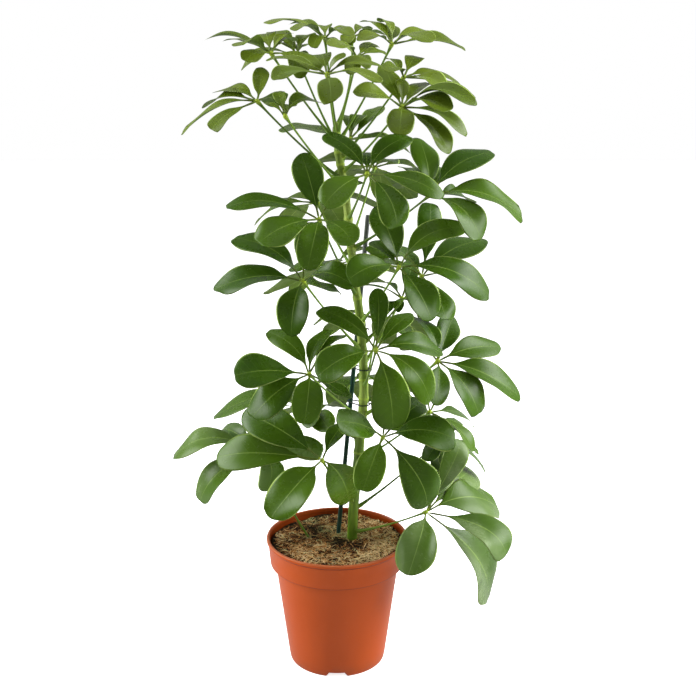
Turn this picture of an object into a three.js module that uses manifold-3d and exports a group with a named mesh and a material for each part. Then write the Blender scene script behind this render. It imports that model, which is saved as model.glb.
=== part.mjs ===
// A potted umbrella plant: a clay-coloured pot, its growing medium, a green trunk tied to a
// stake, and compound leaves whose leaflets spread like the ribs of an umbrella
import * as THREE from 'three';
import { mergeVertices } from 'three/addons/utils/BufferGeometryUtils.js';
import Module from 'manifold-3d';

// Driving sizes in millimetres
const potHeight = 158;
const potTopRadius = 85;
const potBaseRadius = 58;
const bandBottomHeight = 125.5;
const bandBottomRadius = 80.8;
const bodyTopRadius = 74.7;
const lipHeight = 5;
const potWall = 2;
const potFloor = 3;
const drainCount = 3;
const drainWidth = 22;
const drainHeight = 6.5;
const soilTop = 149;
const soilFill = 3.5;
const soilMound = 1.1;
const soilDip = 4;
const contactGap = 0.3;
const trunkBaseRadius = 6.2;
const trunkTopRadius = 3.9;
const trunkDepthInSoil = 90;
const scarSwell = 0.9;
const stakeRadius = 2.7;
const stakeDepthInSoil = 110;
const stakeSetBack = 12;
const tieWireRadius = 0.8;
const tieTailRadius = 0.7;
const bladeThickness = 0.8;
const petioleRadius = 1.5;
const petioleBaseRadius = 2.3;
const hubRadius = 3.1;

// Where the photograph was taken from: the eye in millimetres, its pitch, and the picture in pixels
const eye = new THREE.Vector3(13.3, -1250, 732);
const eyePitch = THREE.MathUtils.degToRad(15.2);
const focalPixels = 1121;
const centrePixel = 348;

// The trunk's line and the stake's two ends, as pixels of the photograph
const trunkPixels = [
  [352, 538], [354, 500], [360, 441], [364, 385], [360, 320],
  [354, 275], [349, 225], [344, 185], [339, 155], [336, 128],
];
const scarPixels = [485, 452, 425, 398, 379, 352, 322, 298, 272, 248, 219, 198, 178, 164, 152, 141, 133];
const stakePixels = { foot: [338, 537], head: [368, 215] };
const tiePixels = { tie_upper: 329, tie_middle: 369, tie_lower: 404 };

// Every compound leaf that shows: its hub, how far the hub lies behind the trunk in millimetres,
// the height where its petiole leaves the trunk, its reach in millimetres, how far its face looks
// up, how many leaflets it has more than show, and the tips of its leaflets: across, down, 1 for a
// tip that leans away or -1 for one that leans towards the eye, and for most the middle where the
// blade looks broadest (0, 0 where it isn't read) and how broad it looks there. Pixels of the
// photograph, from the top of the plant down.
const seenLeaves = [
  { hub: [325, 38], depth: 35, root: 141, reach: 80, lift: 2.2, more: 1,
    tips: [[291, 24, 1, 304.5, 23.5, 6], [291, 31, -1], [326, 28, 1], [350, 27, 0.3],
      [352, 36, -1], [313, 49, -1], [335, 46, -1]] },
  { hub: [352, 37], depth: 60, root: 128.5, reach: 80, lift: 2.2, more: 0,
    tips: [[334, 31, 1], [345, 44, -1], [369, 31, 1], [384, 35, 1], [350, 46, -1]] },
  { hub: [392, 44], depth: 30, root: 144, reach: 82, lift: 2.2, more: 0,
    tips: [[362, 22, 1], [377, 21, 1, 0, 0, 6], [391, 24, 1, 391, 30, 16], [357, 41, -1, 372, 36, 4],
      [441, 34, 1, 418, 32.5, 6], [467, 51, 1, 440.5, 41.5, 7], [435, 42, -1, 0, 0, 5]] },
  { hub: [271, 53], depth: 0, root: 143, reach: 80, lift: 2.2, more: 1,
    tips: [[205, 40, 1, 227, 35.5, 4], [224, 41, 1, 239, 39.5, 4],
      [236, 47, -1, 248, 41.5, 7], [266, 34, 1], [297, 41, 1], [292, 33, 1],
      [245, 62, -1, 253, 54.5, 11]] },
  { hub: [297, 56], depth: 52, root: 147, reach: 78, lift: 2.2, more: 2,
    tips: [[270, 32, 1], [282, 44, 1], [304, 47, 1], [313, 37, 1]] },
  { hub: [357, 57], depth: -18, root: 136, reach: 76, lift: 2.2, more: 0,
    tips: [[333, 40, 1], [328, 46, -1], [375, 44, 1], [387, 54, 1], [366, 69, -1],
      [350, 75, -1]] },
  { hub: [327, 74], depth: -75, root: 153, reach: 80, lift: 2.2, more: 0,
    tips: [[266, 60, 1, 288, 58.8, 5], [272, 80, -1, 286, 72.7, 9], [320, 55, 1],
      [346, 54, 1], [382, 66, 1, 357, 62.3, 7], [382, 83, -1, 361, 73.5, 6],
      [331, 104, -1, 330.5, 89.6, 30]] },
  { hub: [404, 77], depth: -15, root: 160, reach: 82, lift: 2, more: 0,
    tips: [[386, 59, 1], [418, 57, 1], [461, 84, 1, 437, 74.5, 6], [476, 98, 1, 451, 85.5, 6],
      [442, 89, -1, 431.8, 79.7, 9], [385, 72, -1]] },
  { hub: [402, 107], depth: -60, root: 173, reach: 84, lift: 1.6, more: 0,
    tips: [[356, 96, -1, 373, 93.5, 9], [383, 64, 1, 390.4, 80.8, 17], [401, 79, 1],
      [433, 84, 1, 420.9, 87.5, 12], [477, 106, 1, 447, 91, 9],
      [451, 112, -1, 432, 101.5, 9], [468, 137, -1, 446.5, 117.8, 9],
      [450, 154, -1, 437, 133, 15], [399, 136, -1, 400.7, 119, 26]] },
  { hub: [257, 101], depth: -20, root: 181, reach: 88, lift: 3, more: 0,
    tips: [[180, 135, -1, 211, 110.8, 4], [212, 131, -1, 220.8, 119.5, 11],
      [205, 108, 1, 220.8, 97.8, 6], [212, 93, 1, 232.8, 90.3, 8],
      [261, 67, 1, 261, 79.7, 14], [283, 104, 1, 273, 98.3, 11]] },
  { hub: [285, 116], depth: -42, root: 191, reach: 78, lift: 1.6, more: 0,
    tips: [[264, 103, 1, 0, 0, 4], [278, 91, 1], [323, 104, 1, 304, 99, 11], [293, 107, 1]] },
  { hub: [350, 139], depth: 40, root: 167, reach: 84, lift: 1.6, more: 2,
    tips: [[280, 128, 1, 303, 128.3, 8], [350, 116, 1], [364, 115, 1],
      [381, 106, 1, 373, 115, 11], [386, 134, -1, 374, 137, 5]] },
  { hub: [367, 174], depth: -100, root: 219, reach: 92, lift: 0.75, more: 0,
    tips: [[324, 134, 1, 344.8, 145, 17], [411, 136, 1, 389, 145.5, 19],
      [323, 207, -1, 337.5, 190, 25], [397, 229, -1, 392.6, 205.5, 27],
      [444, 199, -1, 421, 183.5, 17], [365, 153, 1]] },
  { hub: [430, 195], depth: -35, root: 249, reach: 100, lift: 1.6, more: 0,
    tips: [[419, 138, 1, 425.7, 158, 22], [494, 152, 1, 466, 159.8, 22],
      [524, 219, -1, 491.5, 197.3, 17], [481, 240, -1, 467.6, 215.3, 21],
      [470, 202, 1, 461.5, 195.5, 9], [399, 189, 1, 0, 0, 7], [402, 168, 1],
      [446, 169, 1]] },
  { hub: [319, 219], depth: -60, root: 297, reach: 100, lift: 1.6, more: 0,
    tips: [[301, 153, 1, 308.5, 176, 27], [224, 208, 1, 258.3, 200.8, 14],
      [257, 244, -1, 279.3, 229.2, 26], [307, 271, -1, 313.5, 241, 29],
      [353, 245, -1, 343.8, 231, 22], [360, 181, 1]] },
  { hub: [399, 267], depth: -85, root: 323, reach: 96, lift: 0.75, more: 0,
    tips: [[376, 206, 1, 387, 229, 26], [372, 241, 1, 382, 248, 14],
      [347, 281, -1, 366, 269, 26], [466, 227, 1, 434.5, 231.8, 23],
      [491, 297, -1, 459, 274.2, 24], [432, 321, -1, 421.5, 297.8, 28]] },
  { hub: [422, 276], depth: 28, root: 345, reach: 96, lift: 1.6, more: 2,
    tips: [[430, 202, 1, 429.9, 222.5, 22], [487, 240, 1, 459.7, 246, 22],
      [447, 321, -1, 439.4, 302, 22], [478, 292, -1], [402, 246, 1, 408, 257, 12]] },
  { hub: [303, 281], depth: -50, root: 351, reach: 98, lift: 1.6, more: 0,
    tips: [[213, 290, -1, 247, 278.5, 21], [232, 238, 1, 264.3, 245.7, 21], [314, 222, 1],
      [356, 288, -1, 333, 274.5, 18], [291, 337, -1, 293.6, 308.8, 29],
      [339, 290, 1, 322.7, 288, 8]] },
  { hub: [402, 298], depth: 48, root: 365, reach: 84, lift: 0.75, more: 2,
    tips: [[370, 283, 1], [396, 312, -1], [376, 320, -1], [425, 325, -1], [412, 262, 1]] },
  { hub: [376, 350], depth: -103, root: 386, reach: 90, lift: 0.75, more: 0,
    tips: [[317, 309, 1, 344.4, 319.2, 19], [377, 288, 1, 378.7, 306.5, 18],
      [413, 314, 1, 398.5, 322.7, 16], [443, 353, 1, 418.5, 344.6, 19],
      [431, 404, -1, 418.3, 375.8, 25], [393, 431, -1, 390.6, 397.7, 37],
      [316, 378, -1, 337, 362, 30]] },
  { hub: [438, 361], depth: -55, root: 416, reach: 98, lift: 0.6, more: 0,
    tips: [[416, 317, 1, 429.5, 329.7, 13], [453, 316, 1, 447.3, 330.8, 22],
      [501, 347, 1, 478, 347, 22], [521, 398, -1, 492.5, 378.2, 21],
      [479, 416, -1, 468.6, 391.5, 22], [435, 406, -1, 438.3, 385, 20], [403, 351, 1]] },
  { hub: [309, 374], depth: -75, root: 418, reach: 96, lift: 0.75, more: 0,
    tips: [[266, 331, 1, 288.4, 342, 19], [331, 329, 1, 317.5, 342.3, 14],
      [346, 335, 1, 332, 342.5, 9], [233, 376, -1, 257, 371.7, 28],
      [251, 419, -1, 271, 397.2, 29], [304, 426, -1, 307.8, 398.8, 31],
      [350, 399, -1, 335.4, 388.5, 10]] },
  { hub: [316, 415], depth: 18, root: 438, reach: 116, lift: 0.75, more: 2,
    tips: [[211, 420, 1, 251, 399, 14], [243, 420, -1], [312, 428, -1], [345, 408, 1],
      [330, 431, -1]] },
  { hub: [383, 437], depth: -95, root: 487, reach: 96, lift: 0.75, more: 0,
    tips: [[336, 422, -1, 355, 423.2, 24], [457, 440, -1, 430.3, 430.7, 29],
      [427, 507, -1, 421.9, 483.7, 36], [362, 493, -1, 370.8, 467, 32], [385, 377, 1],
      [424, 402, 1]] },
  { hub: [430, 412], depth: 30, root: 461, reach: 92, lift: 0.75, more: 2,
    tips: [[474, 453, -1, 463, 434.5, 8], [479, 455, -1, 461, 435, 5], [412, 385, 1], [442, 385, 1],
      [420, 440, -1]] },
  { hub: [322, 460], depth: -92, root: 502, reach: 118, lift: 0.5, more: 0,
    tips: [[243, 412, 1, 272, 425, 34], [216, 458, 1, 245.8, 453.3, 31],
      [270, 519, -1, 291.8, 491.7, 35], [350, 503, 0.8, 342.5, 480, 38], [346, 424, 1]] },
  { hub: [440, 440], depth: 50, root: 510, reach: 84, lift: 0.75, more: 2,
    tips: [[425, 462, -1], [447, 470, -1], [458, 420, 1], [415, 425, 1], [466, 456, -1]] },
  { hub: [258, 450], depth: 8, root: 538, rootAcross: 322, reach: 104, lift: 0.75, more: 1,
    tips: [[172, 458, 1, 198.5, 440, 20], [222, 429, 1], [200, 503, -1, 211.4, 480.8, 23],
      [265, 492, -1, 272.3, 473.8, 28], [250, 432, 1], [321, 443, 1, 301, 442.5, 14]] },
  { hub: [426, 512], depth: -30, root: 532, reach: 128, lift: 0.75, more: 0,
    tips: [[461, 440, 1, 455, 458, 22], [441, 457, 1, 443, 470, 25],
      [499, 508, 1, 475.4, 497.2, 33], [506, 556, -1, 493.6, 534.6, 28],
      [488, 601, -1, 482.1, 568.5, 29], [408, 576, -1, 418, 545.4, 37], [472, 470, 1]] },
];

// The leaves behind the trunk that the photograph doesn't show: the height of the hub and of the
// petiole's foot, the bearing of the hub round the trunk in degrees (90 is straight back) and
// its distance from the trunk's line, in millimetres
const hiddenLeaves = [
  { height: 590, rootHeight: 516, bearing: 68, away: 100, reach: 80 },
  { height: 548, rootHeight: 484, bearing: 112, away: 98, reach: 84 },
  { height: 470, rootHeight: 398, bearing: 106, away: 98, reach: 84 },
  { height: 402, rootHeight: 338, bearing: 78, away: 104, reach: 86 },
  { height: 318, rootHeight: 256, bearing: 100, away: 102, reach: 88 },
];
const hiddenLeafletCount = 7;
const turnSpread = 0.5;
const shortestShare = 0.85;
const lengthSpread = 0.25;

const up = new THREE.Vector3(0, 0, 1);
const towardsEye = new THREE.Vector3(0, -1, 0);
const wasm = await Module();
wasm.setup();

// The same number from 0 to 1 for the same two keys
function draw(first, second) {
  const value = Math.sin(first * 12.9898 + second * 78.233) * 43758.5453;
  return value - Math.floor(value);
}

// The point seen at a pixel, at a depth: eye + ray * (depth - eye.y) / ray.y
function sightPoint(pixel, depth) {
  const forward = new THREE.Vector3(0, Math.cos(eyePitch), -Math.sin(eyePitch));
  const above = new THREE.Vector3(0, Math.sin(eyePitch), Math.cos(eyePitch));
  const ray = forward.multiplyScalar(focalPixels);
  ray.x += pixel[0] - centrePixel;
  ray.addScaledVector(above, centrePixel - pixel[1]);
  return ray.multiplyScalar((depth - eye.y) / ray.y).add(eye);
}

// A closed solid through rings of points, with both ends capped or the last ring run to the first
function loft(rings, { closed = false, mirrored = [] } = {}) {
  const count = rings[0].length;
  const positions = rings.flat().flatMap((p) => [p.x, p.y, p.z]);
  const index = [];
  const spans = closed ? rings.length : rings.length - 1;
  for (let i = 0; i < spans; i += 1) {
    const here = i * count;
    const next = ((i + 1) % rings.length) * count;
    for (let j = 0; j < count; j += 1) {
      const k = (j + 1) % count;
      if (mirrored[j]) {
        index.push(here + j, here + k, next + j, here + k, next + k, next + j);
      } else {
        index.push(here + j, here + k, next + k, here + j, next + k, next + j);
      }
    }
  }
  if (!closed) {
    const last = (rings.length - 1) * count;
    for (let j = 1; j < count - 1; j += 1) {
      index.push(0, j + 1, j);
      index.push(last, last + j, last + j + 1);
    }
  }
  const geometry = new THREE.BufferGeometry();
  geometry.setAttribute('position', new THREE.Float32BufferAttribute(positions, 3));
  geometry.setIndex(index);
  return geometry;
}

const mergeDistance = 1e-4;
function solidOf(geometry) {
  const bare = geometry.clone();
  bare.deleteAttribute('normal');
  bare.deleteAttribute('uv');
  const merged = mergeVertices(bare, mergeDistance);
  return new wasm.Manifold(new wasm.Mesh({
    numProp: 3,
    vertProperties: new Float32Array(merged.attributes.position.array),
    triVerts: new Uint32Array(merged.index.array),
  }));
}

function geometryOf(solid) {
  const mesh = solid.getMesh();
  const geometry = new THREE.BufferGeometry();
  geometry.setAttribute('position', new THREE.BufferAttribute(new Float32Array(mesh.vertProperties), 3));
  geometry.setIndex(new THREE.BufferAttribute(new Uint32Array(mesh.triVerts), 1));
  geometry.computeVertexNormals();
  return geometry;
}

// Rings of a tube along points, with a radius at each
function tubeRings(points, radii, sides) {
  return points.map((point, i) => {
    const before = points[Math.max(i - 1, 0)];
    const after = points[Math.min(i + 1, points.length - 1)];
    const along = after.clone().sub(before).normalize();
    const across = new THREE.Vector3().crossVectors(towardsEye, along).normalize();
    const over = new THREE.Vector3().crossVectors(along, across);
    return Array.from({ length: sides }, (_, j) => {
      const turn = (2 * Math.PI * j) / sides;
      return point.clone()
        .addScaledVector(across, Math.cos(turn) * radii[i])
        .addScaledVector(over, Math.sin(turn) * radii[i]);
    });
  });
}

// The trunk's line, sampled evenly, from its foot in the medium to its tip
const trunkKnots = trunkPixels.map((pixel) => sightPoint(pixel, 0));
const trunkCurve = new THREE.CatmullRomCurve3(trunkKnots, false, 'catmullrom', 0.5);
const trunkSteps = 180;
const trunkSamples = Array.from({ length: trunkSteps + 1 }, (_, i) => trunkCurve.getPoint(i / trunkSteps));
const trunkFoot = trunkSamples[0].clone();
trunkFoot.z = soilTop - trunkDepthInSoil;
const trunkHead = trunkSamples[trunkSamples.length - 1];

// The trunk's centre at a height, straight down below its lowest sample
function trunkAt(height) {
  if (height <= trunkSamples[0].z) {
    return new THREE.Vector3(trunkSamples[0].x, trunkSamples[0].y, height);
  }
  const i = Math.max(trunkSamples.findIndex((sample) => sample.z >= height), 1);
  const low = trunkSamples[i - 1];
  const share = (height - low.z) / (trunkSamples[i].z - low.z);
  return low.clone().lerp(trunkSamples[i], Math.min(share, 1));
}

// The trunk's radius at a height: it thins upwards and swells at each leaf scar
const scarHeights = scarPixels.map((row) => sightPoint([centrePixel, row], 0).z);
const scarReach = 3.2;
function trunkRadiusAt(height) {
  const share = THREE.MathUtils.clamp((height - soilTop) / (trunkHead.z - soilTop), 0, 1);
  const plain = trunkBaseRadius + (trunkTopRadius - trunkBaseRadius) * share;
  const swell = scarHeights.reduce((sum, scar) => sum + Math.exp(-(((height - scar) / scarReach) ** 2)), 0);
  return plain + scarSwell * Math.min(swell, 1);
}

// The trunk as a tube with a ring at each scar, one below it where there is room, and a bud on top
const trunkSides = 8;
const budHeight = 7;
const budRadius = 1.6;
function trunkSolid(extra) {
  const clearOfSoil = soilTop + 2.5 * scarReach;
  const heights = [trunkFoot.z, clearOfSoil];
  scarHeights.forEach((scar, i) => {
    const below = i === 0 ? clearOfSoil : scarHeights[i - 1];
    if (scar - below > 4 * scarReach) {
      heights.push(scar - 1.8 * scarReach);
    }
    heights.push(scar);
  });
  const points = heights.map((height) => trunkAt(height));
  const radii = heights.map((height) => trunkRadiusAt(height) + extra);
  points.push(trunkHead.clone().setZ(trunkHead.z + budHeight));
  radii.push(budRadius + extra);
  return solidOf(loft(tubeRings(points, radii, trunkSides)));
}

const stakeFoot = sightPoint(stakePixels.foot, stakeSetBack);
const stakeHead = sightPoint(stakePixels.head, stakeSetBack);
function stakeAt(height) {
  return stakeFoot.clone().lerp(stakeHead, (height - stakeFoot.z) / (stakeHead.z - stakeFoot.z));
}

const stakeSides = 8;
function stakeSolid(extra) {
  const points = [stakeAt(soilTop - stakeDepthInSoil), stakeHead];
  return solidOf(loft(tubeRings(points, [stakeRadius + extra, stakeRadius + extra], stakeSides)));
}

// What stands already, as points that later leaflets keep clear of
const taken = [];
const leafClearance = 7.4;
const stalkClearance = 4.6;
const ownClearance = 3.5;
const outerShare = 0.5;

// How clear points lie of what stands: least distance over the clearance wanted, at most 1
function clearanceOf(points, leaf, nearby) {
  let least = 1;
  for (const { at, share, stalk } of points) {
    for (const other of nearby) {
      const own = other.leaf === leaf;
      if (own && (share < outerShare || other.share < outerShare)) {
        continue;
      }
      const apart = stalk && other.stalk ? stalkClearance : leafClearance;
      const wanted = own ? ownClearance : apart;
      const reach = at.distanceTo(other.at) / (wanted + other.radius);
      least = Math.min(least, reach);
    }
  }
  return least;
}

// The first choice whose points are clear, or else the clearest
function clearest(choices, pointsOf, leaf, centre, reach, skipped = () => false) {
  const nearby = taken.filter((other) => other.at.distanceTo(centre) < reach && !skipped(other));
  let best = null;
  let bestClearance = -1;
  for (const choice of choices) {
    const found = clearanceOf(pointsOf(choice), leaf, nearby);
    if (found > bestClearance) {
      best = choice;
      bestClearance = found;
    }
    if (found >= 1) {
      break;
    }
  }
  return { best, bestClearance };
}

// A petiole's line: a + (b - a) t with its middle drawn down and aside
function petiolePoint(petiole, t) {
  const bend = 4 * t * (1 - t);
  return petiole.foot.clone().lerp(petiole.hub, t).addScaledVector(petiole.bow, bend);
}

// Points along a petiole, from just outside the trunk to the hub
const petioleSteps = 22;
function petioleSamples(petiole, leaf) {
  const points = [];
  for (let i = 2; i <= petioleSteps; i += 1) {
    points.push({ at: petiolePoint(petiole, i / petioleSteps), share: 0, leaf, radius: 0, stalk: true });
  }
  return points;
}

const bladeStart = 0.17;
const petioluleHalfWidth = 1.1;
const widestShare = 0.593;

// Half the blade's breadth at a share of the leaflet's length: s^0.6 (1 - s^2.2)^0.55
function halfWidthAt(leaflet, t) {
  const s = THREE.MathUtils.clamp((t - bladeStart) / (1 - bladeStart), 0, 1);
  const shape = (s ** 0.6 * (1 - s ** 2.2) ** 0.55) / widestShare;
  return Math.max(petioluleHalfWidth * (1 - s), (leaflet.width / 2) * shape);
}

// A point of a leaflet's middle surface: base to tip, arched by 4 t (1 - t) along its normal and
// its shift, with its sides curled down by the square of their distance from the rib
function leafletPoint(leaflet, t, side) {
  const half = halfWidthAt(leaflet, t) * side;
  const bend = 4 * t * (1 - t);
  return leaflet.base.clone().lerp(leaflet.tip, t)
    .addScaledVector(leaflet.normal, leaflet.bow * bend - leaflet.curl * half * half)
    .addScaledVector(leaflet.shift, bend)
    .addScaledVector(leaflet.across, half);
}

const sampleShares = [0.2, 0.3, 0.38, 0.46, 0.54, 0.62, 0.7, 0.78, 0.86, 0.94, 1];
const sampleSides = [-0.95, -0.5, 0, 0.5, 0.95];
function leafletSamples(leaflet, leaf) {
  return sampleShares.flatMap((share) => sampleSides.map((side) => (
    { at: leafletPoint(leaflet, share, side), share, leaf, radius: 0, stalk: false }
  )));
}

// A blade's breadth and the line across it, so that it looks as broad as it was read: shown * gain
// = width * facing, with the gain for its fold and facing the cosine of its turn about its own
// length away from the eye
function turnedAcross(along, across, tip, plainWidth, shown) {
  if (!shown) {
    return { across, width: plainWidth, facing: 1 };
  }
  const away = tip.clone().sub(eye);
  const seen = (shown * foldGain * away.length()) / focalPixels;
  const open = new THREE.Vector3().crossVectors(along, away).normalize();
  open.multiplyScalar(open.dot(across) > 0 ? 1 : -1);
  const edgeOn = new THREE.Vector3().crossVectors(along, open);
  const sought = seen / Math.max(open.dot(across), leastFacing);
  const width = THREE.MathUtils.clamp(sought, plainWidth * breadthShares.least, plainWidth * breadthShares.most);
  const facing = Math.min(seen / width, 1);
  const turned = Math.sqrt(1 - facing ** 2) * (edgeOn.dot(across) > 0 ? 1 : -1);
  return { across: open.multiplyScalar(facing).addScaledVector(edgeOn, turned), width, facing };
}

// A leaflet from its leaf's hub to a tip, face up along the leaf's own normal
const plainBreadth = 0.36;
const breadthSpread = 0.08;
const breadthShares = { least: 0.7, most: 1.3 };
const middleShare = 0.62;
const foldGain = 1.15;
const mostShift = 0.3;
const leastFacing = 0.05;
const leastCurl = 0.006;
const curlSpread = 0.016;
function leafletTo(hub, tip, face, keys, bowShare) {
  const along = tip.clone().sub(hub).normalize();
  const length = tip.distanceTo(hub);
  const plainAcross = new THREE.Vector3().crossVectors(along, face).normalize();
  const plainWidth = length * (plainBreadth + breadthSpread * draw(keys.first, keys.second));
  const { across, width, facing } = turnedAcross(along, plainAcross, tip, plainWidth, keys.shown);
  const base = hub.clone().addScaledVector(along, hubRadius * 0.4);
  const normal = new THREE.Vector3().crossVectors(across, along);
  const bow = length * bowShare;
  const bend = 4 * middleShare * (1 - middleShare);
  const shift = new THREE.Vector3();
  if (keys.middle) {
    const plainMiddle = base.clone().lerp(tip, middleShare).addScaledVector(normal, bow * bend);
    shift.copy(sightPoint(keys.middle, plainMiddle.y)).sub(plainMiddle).divideScalar(bend);
    shift.clampLength(0, mostShift * length);
  }
  return {
    base,
    tip,
    normal,
    across,
    width,
    bow,
    shift,
    curl: facing * (leastCurl + curlSpread * draw(keys.second, keys.first + 5)),
  };
}

const slides = [0, -8, 8, -16, 16, -24, 24, -34, 34, -44, 44, -56, 56];
const bowShares = [0.14, 0.07, 0.2];

// A leaflet whose tip slides along a line, and whose arch changes, until it is clear. One that
// the photograph doesn't show is left out where there is no room for it.
const leastRoom = 0.75;
const blockReach = 20;
function clearLeaflet(hub, tip, slideLine, face, keys, leaf, shown) {
  const choices = slides.flatMap((slide) => bowShares.map((bowShare) => (
    leafletTo(hub, tip.clone().addScaledVector(slideLine, slide), face, keys, bowShare)
  )));
  const centre = hub.clone().lerp(tip, 0.5);
  const reach = hub.distanceTo(tip) / 2 + slides[slides.length - 1] + blockReach;
  const pointsOf = (choice) => leafletSamples(choice, leaf);
  const { best, bestClearance } = clearest(choices, pointsOf, leaf, centre, reach);
  if (!shown && bestClearance < leastRoom) {
    return null;
  }
  taken.push(...pointsOf(best));
  return best;
}

// A tip's depth from its pixel: what its length lacks in the picture, it has in depth
const shrinkShare = 0.5;
function tipOf(reading, tipPixel, hub) {
  const flat = sightPoint(tipPixel, reading.depth);
  const shown = flat.distanceTo(hub);
  const lean = tipPixel[2] ?? (tipPixel[1] < reading.hub[1] ? 1 : -1);
  const length = Math.max(shown + shrinkShare * (reading.reach - shown), shown);
  const depth = lean * Math.sqrt(length ** 2 - shown ** 2);
  return sightPoint(tipPixel, reading.depth + depth);
}

// The way a leaf faces: out from the trunk, up, and a little towards the light at the front
const outShare = 0.4;
function faceOf(hub, foot, lift, light) {
  const out = hub.clone().sub(foot).setZ(0).normalize();
  out.multiplyScalar(outShare).addScaledVector(up, lift).addScaledVector(towardsEye, light);
  return out.normalize();
}

const bows = [[0, 0], [6, 0], [-6, 0], [0, 6], [12, 0], [-12, 0], [0, 12], [18, 0], [-18, 0]];

// A petiole from its foot to the hub, bowed down a little and aside until it is clear
const petioleSag = 0.03;
function clearPetiole(foot, hub, leaf) {
  const along = hub.clone().sub(foot).normalize();
  const aside = new THREE.Vector3().crossVectors(along, up).normalize();
  const length = foot.distanceTo(hub);
  const choices = bows.map(([sideways, down]) => ({
    foot,
    hub,
    bow: aside.clone().multiplyScalar(sideways).addScaledVector(up, -petioleSag * length - down),
  }));
  const centre = foot.clone().lerp(hub, 0.5);
  const isTrunk = (other) => other.leaf === trunkMark;
  const pointsOf = (choice) => petioleSamples(choice, leaf);
  const { best } = clearest(choices, pointsOf, leaf, centre, length, isTrunk);
  taken.push(...pointsOf(best));
  return best;
}

const trunkMark = -2;
const stakeMark = -1;
const markStep = 6;
function markStem(pointAt, radiusAt, bottom, top, leaf) {
  for (let height = bottom; height <= top; height += markStep) {
    taken.push({ at: pointAt(height), share: 1, leaf, radius: radiusAt(height), stalk: false });
  }
}

// The pot's rim and band, as rings of points
const potMark = -3;
const potMarkCount = 90;
function markPot() {
  for (let i = 0; i < potMarkCount; i += 1) {
    const turn = (2 * Math.PI * i) / potMarkCount;
    for (const share of [0, 0.33, 0.67, 1]) {
      const radius = potTopRadius + (bandBottomRadius - potTopRadius) * share;
      const height = potHeight + (bandBottomHeight - potHeight) * share;
      const at = new THREE.Vector3(radius * Math.cos(turn), radius * Math.sin(turn), height);
      taken.push({ at, share: 1, leaf: potMark, radius: 0, stalk: false });
    }
  }
}

// Two directions square to a leaf's face, the first one pointing away from the trunk
function planeOf(face, hub, foot) {
  const first = hub.clone().sub(foot).setZ(0);
  first.addScaledVector(face, -first.dot(face)).normalize();
  const second = new THREE.Vector3().crossVectors(face, first);
  return { first, second };
}

const droop = 0.2;
function ruleTip(hub, plane, face, turn, length) {
  return hub.clone()
    .addScaledVector(plane.first, Math.cos(turn) * length)
    .addScaledVector(plane.second, Math.sin(turn) * length)
    .addScaledVector(face, -droop * length);
}

// Bearings for leaflets that the photograph hides: the middle of each widest gap in turn
const widestGap = 1.1;
function fillTurns(turns, more) {
  const found = [];
  let all = [...turns].sort((a, b) => a - b);
  while (found.length < more) {
    const gaps = all.map((turn, i) => (i + 1 < all.length ? all[i + 1] : all[0] + 2 * Math.PI) - turn);
    const i = gaps.indexOf(Math.max(...gaps));
    if (gaps[i] < widestGap) {
      break;
    }
    const middle = all[i] + gaps[i] / 2;
    found.push(middle);
    all = [...all, middle].sort((a, b) => a - b);
  }
  return found;
}

const lightShare = 0.3;
const petioleDepthInSoil = 25;
function placeSeenPetiole(reading, leaf) {
  const hub = sightPoint(reading.hub, reading.depth);
  const footHeight = sightPoint([centrePixel, reading.root], 0).z;
  const foot = trunkAt(footHeight);
  if (reading.rootAcross) {
    foot.copy(sightPoint([reading.rootAcross, reading.root], reading.depth));
    foot.z = soilTop - petioleDepthInSoil;
  }
  const petiole = clearPetiole(foot, hub, leaf);
  return { hub, foot, petiole, face: faceOf(hub, foot, reading.lift, lightShare * reading.lift), leaf };
}

const fillerReach = 0.85;

function placeSeenLeaflets(stem, reading) {
  const { hub, face, leaf } = stem;
  return reading.tips.map((tipPixel, i) => {
    const tip = tipOf(reading, tipPixel, hub);
    const sight = tip.clone().sub(eye).normalize();
    const middle = tipPixel[3] ? [tipPixel[3], tipPixel[4]] : undefined;
    const keys = { first: leaf, second: i, middle, shown: tipPixel[5] };
    return clearLeaflet(hub, tip, sight, face, keys, leaf, true);
  });
}

function placeFillers(stem, reading, leaflets) {
  const { hub, foot, face, leaf } = stem;
  const plane = planeOf(face, hub, foot);
  const turns = leaflets.map((leaflet) => {
    const along = leaflet.tip.clone().sub(hub);
    return Math.atan2(along.dot(plane.second), along.dot(plane.first));
  });
  return fillTurns(turns, reading.more).map((turn, i) => {
    const tip = ruleTip(hub, plane, face, turn, reading.reach * fillerReach);
    return clearLeaflet(hub, tip, face, face, { first: leaf, second: i + 10 }, leaf, false);
  }).filter(Boolean);
}

const hiddenLift = 0.85;
function placeHiddenPetiole(rule, leaf) {
  const bearing = THREE.MathUtils.degToRad(rule.bearing);
  const foot = trunkAt(rule.rootHeight);
  const hub = trunkAt(Math.min(rule.height, trunkHead.z)).setZ(rule.height);
  hub.x += rule.away * Math.cos(bearing);
  hub.y += rule.away * Math.sin(bearing);
  const petiole = clearPetiole(foot, hub, leaf);
  return { hub, foot, petiole, face: faceOf(hub, foot, hiddenLift, 0), leaf };
}

// Leaflets at even turns, each a little off by its own draw
function placeHiddenLeaflets(stem, rule) {
  const { hub, foot, face, leaf } = stem;
  const plane = planeOf(face, hub, foot);
  return Array.from({ length: hiddenLeafletCount }, (_, i) => {
    const turn = (2 * Math.PI * (i + turnSpread * draw(leaf, i + 20))) / hiddenLeafletCount;
    const length = rule.reach * (shortestShare + lengthSpread * draw(leaf, i + 40));
    const tip = ruleTip(hub, plane, face, turn, length);
    return clearLeaflet(hub, tip, face, face, { first: leaf, second: i }, leaf, false);
  }).filter(Boolean);
}

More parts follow.
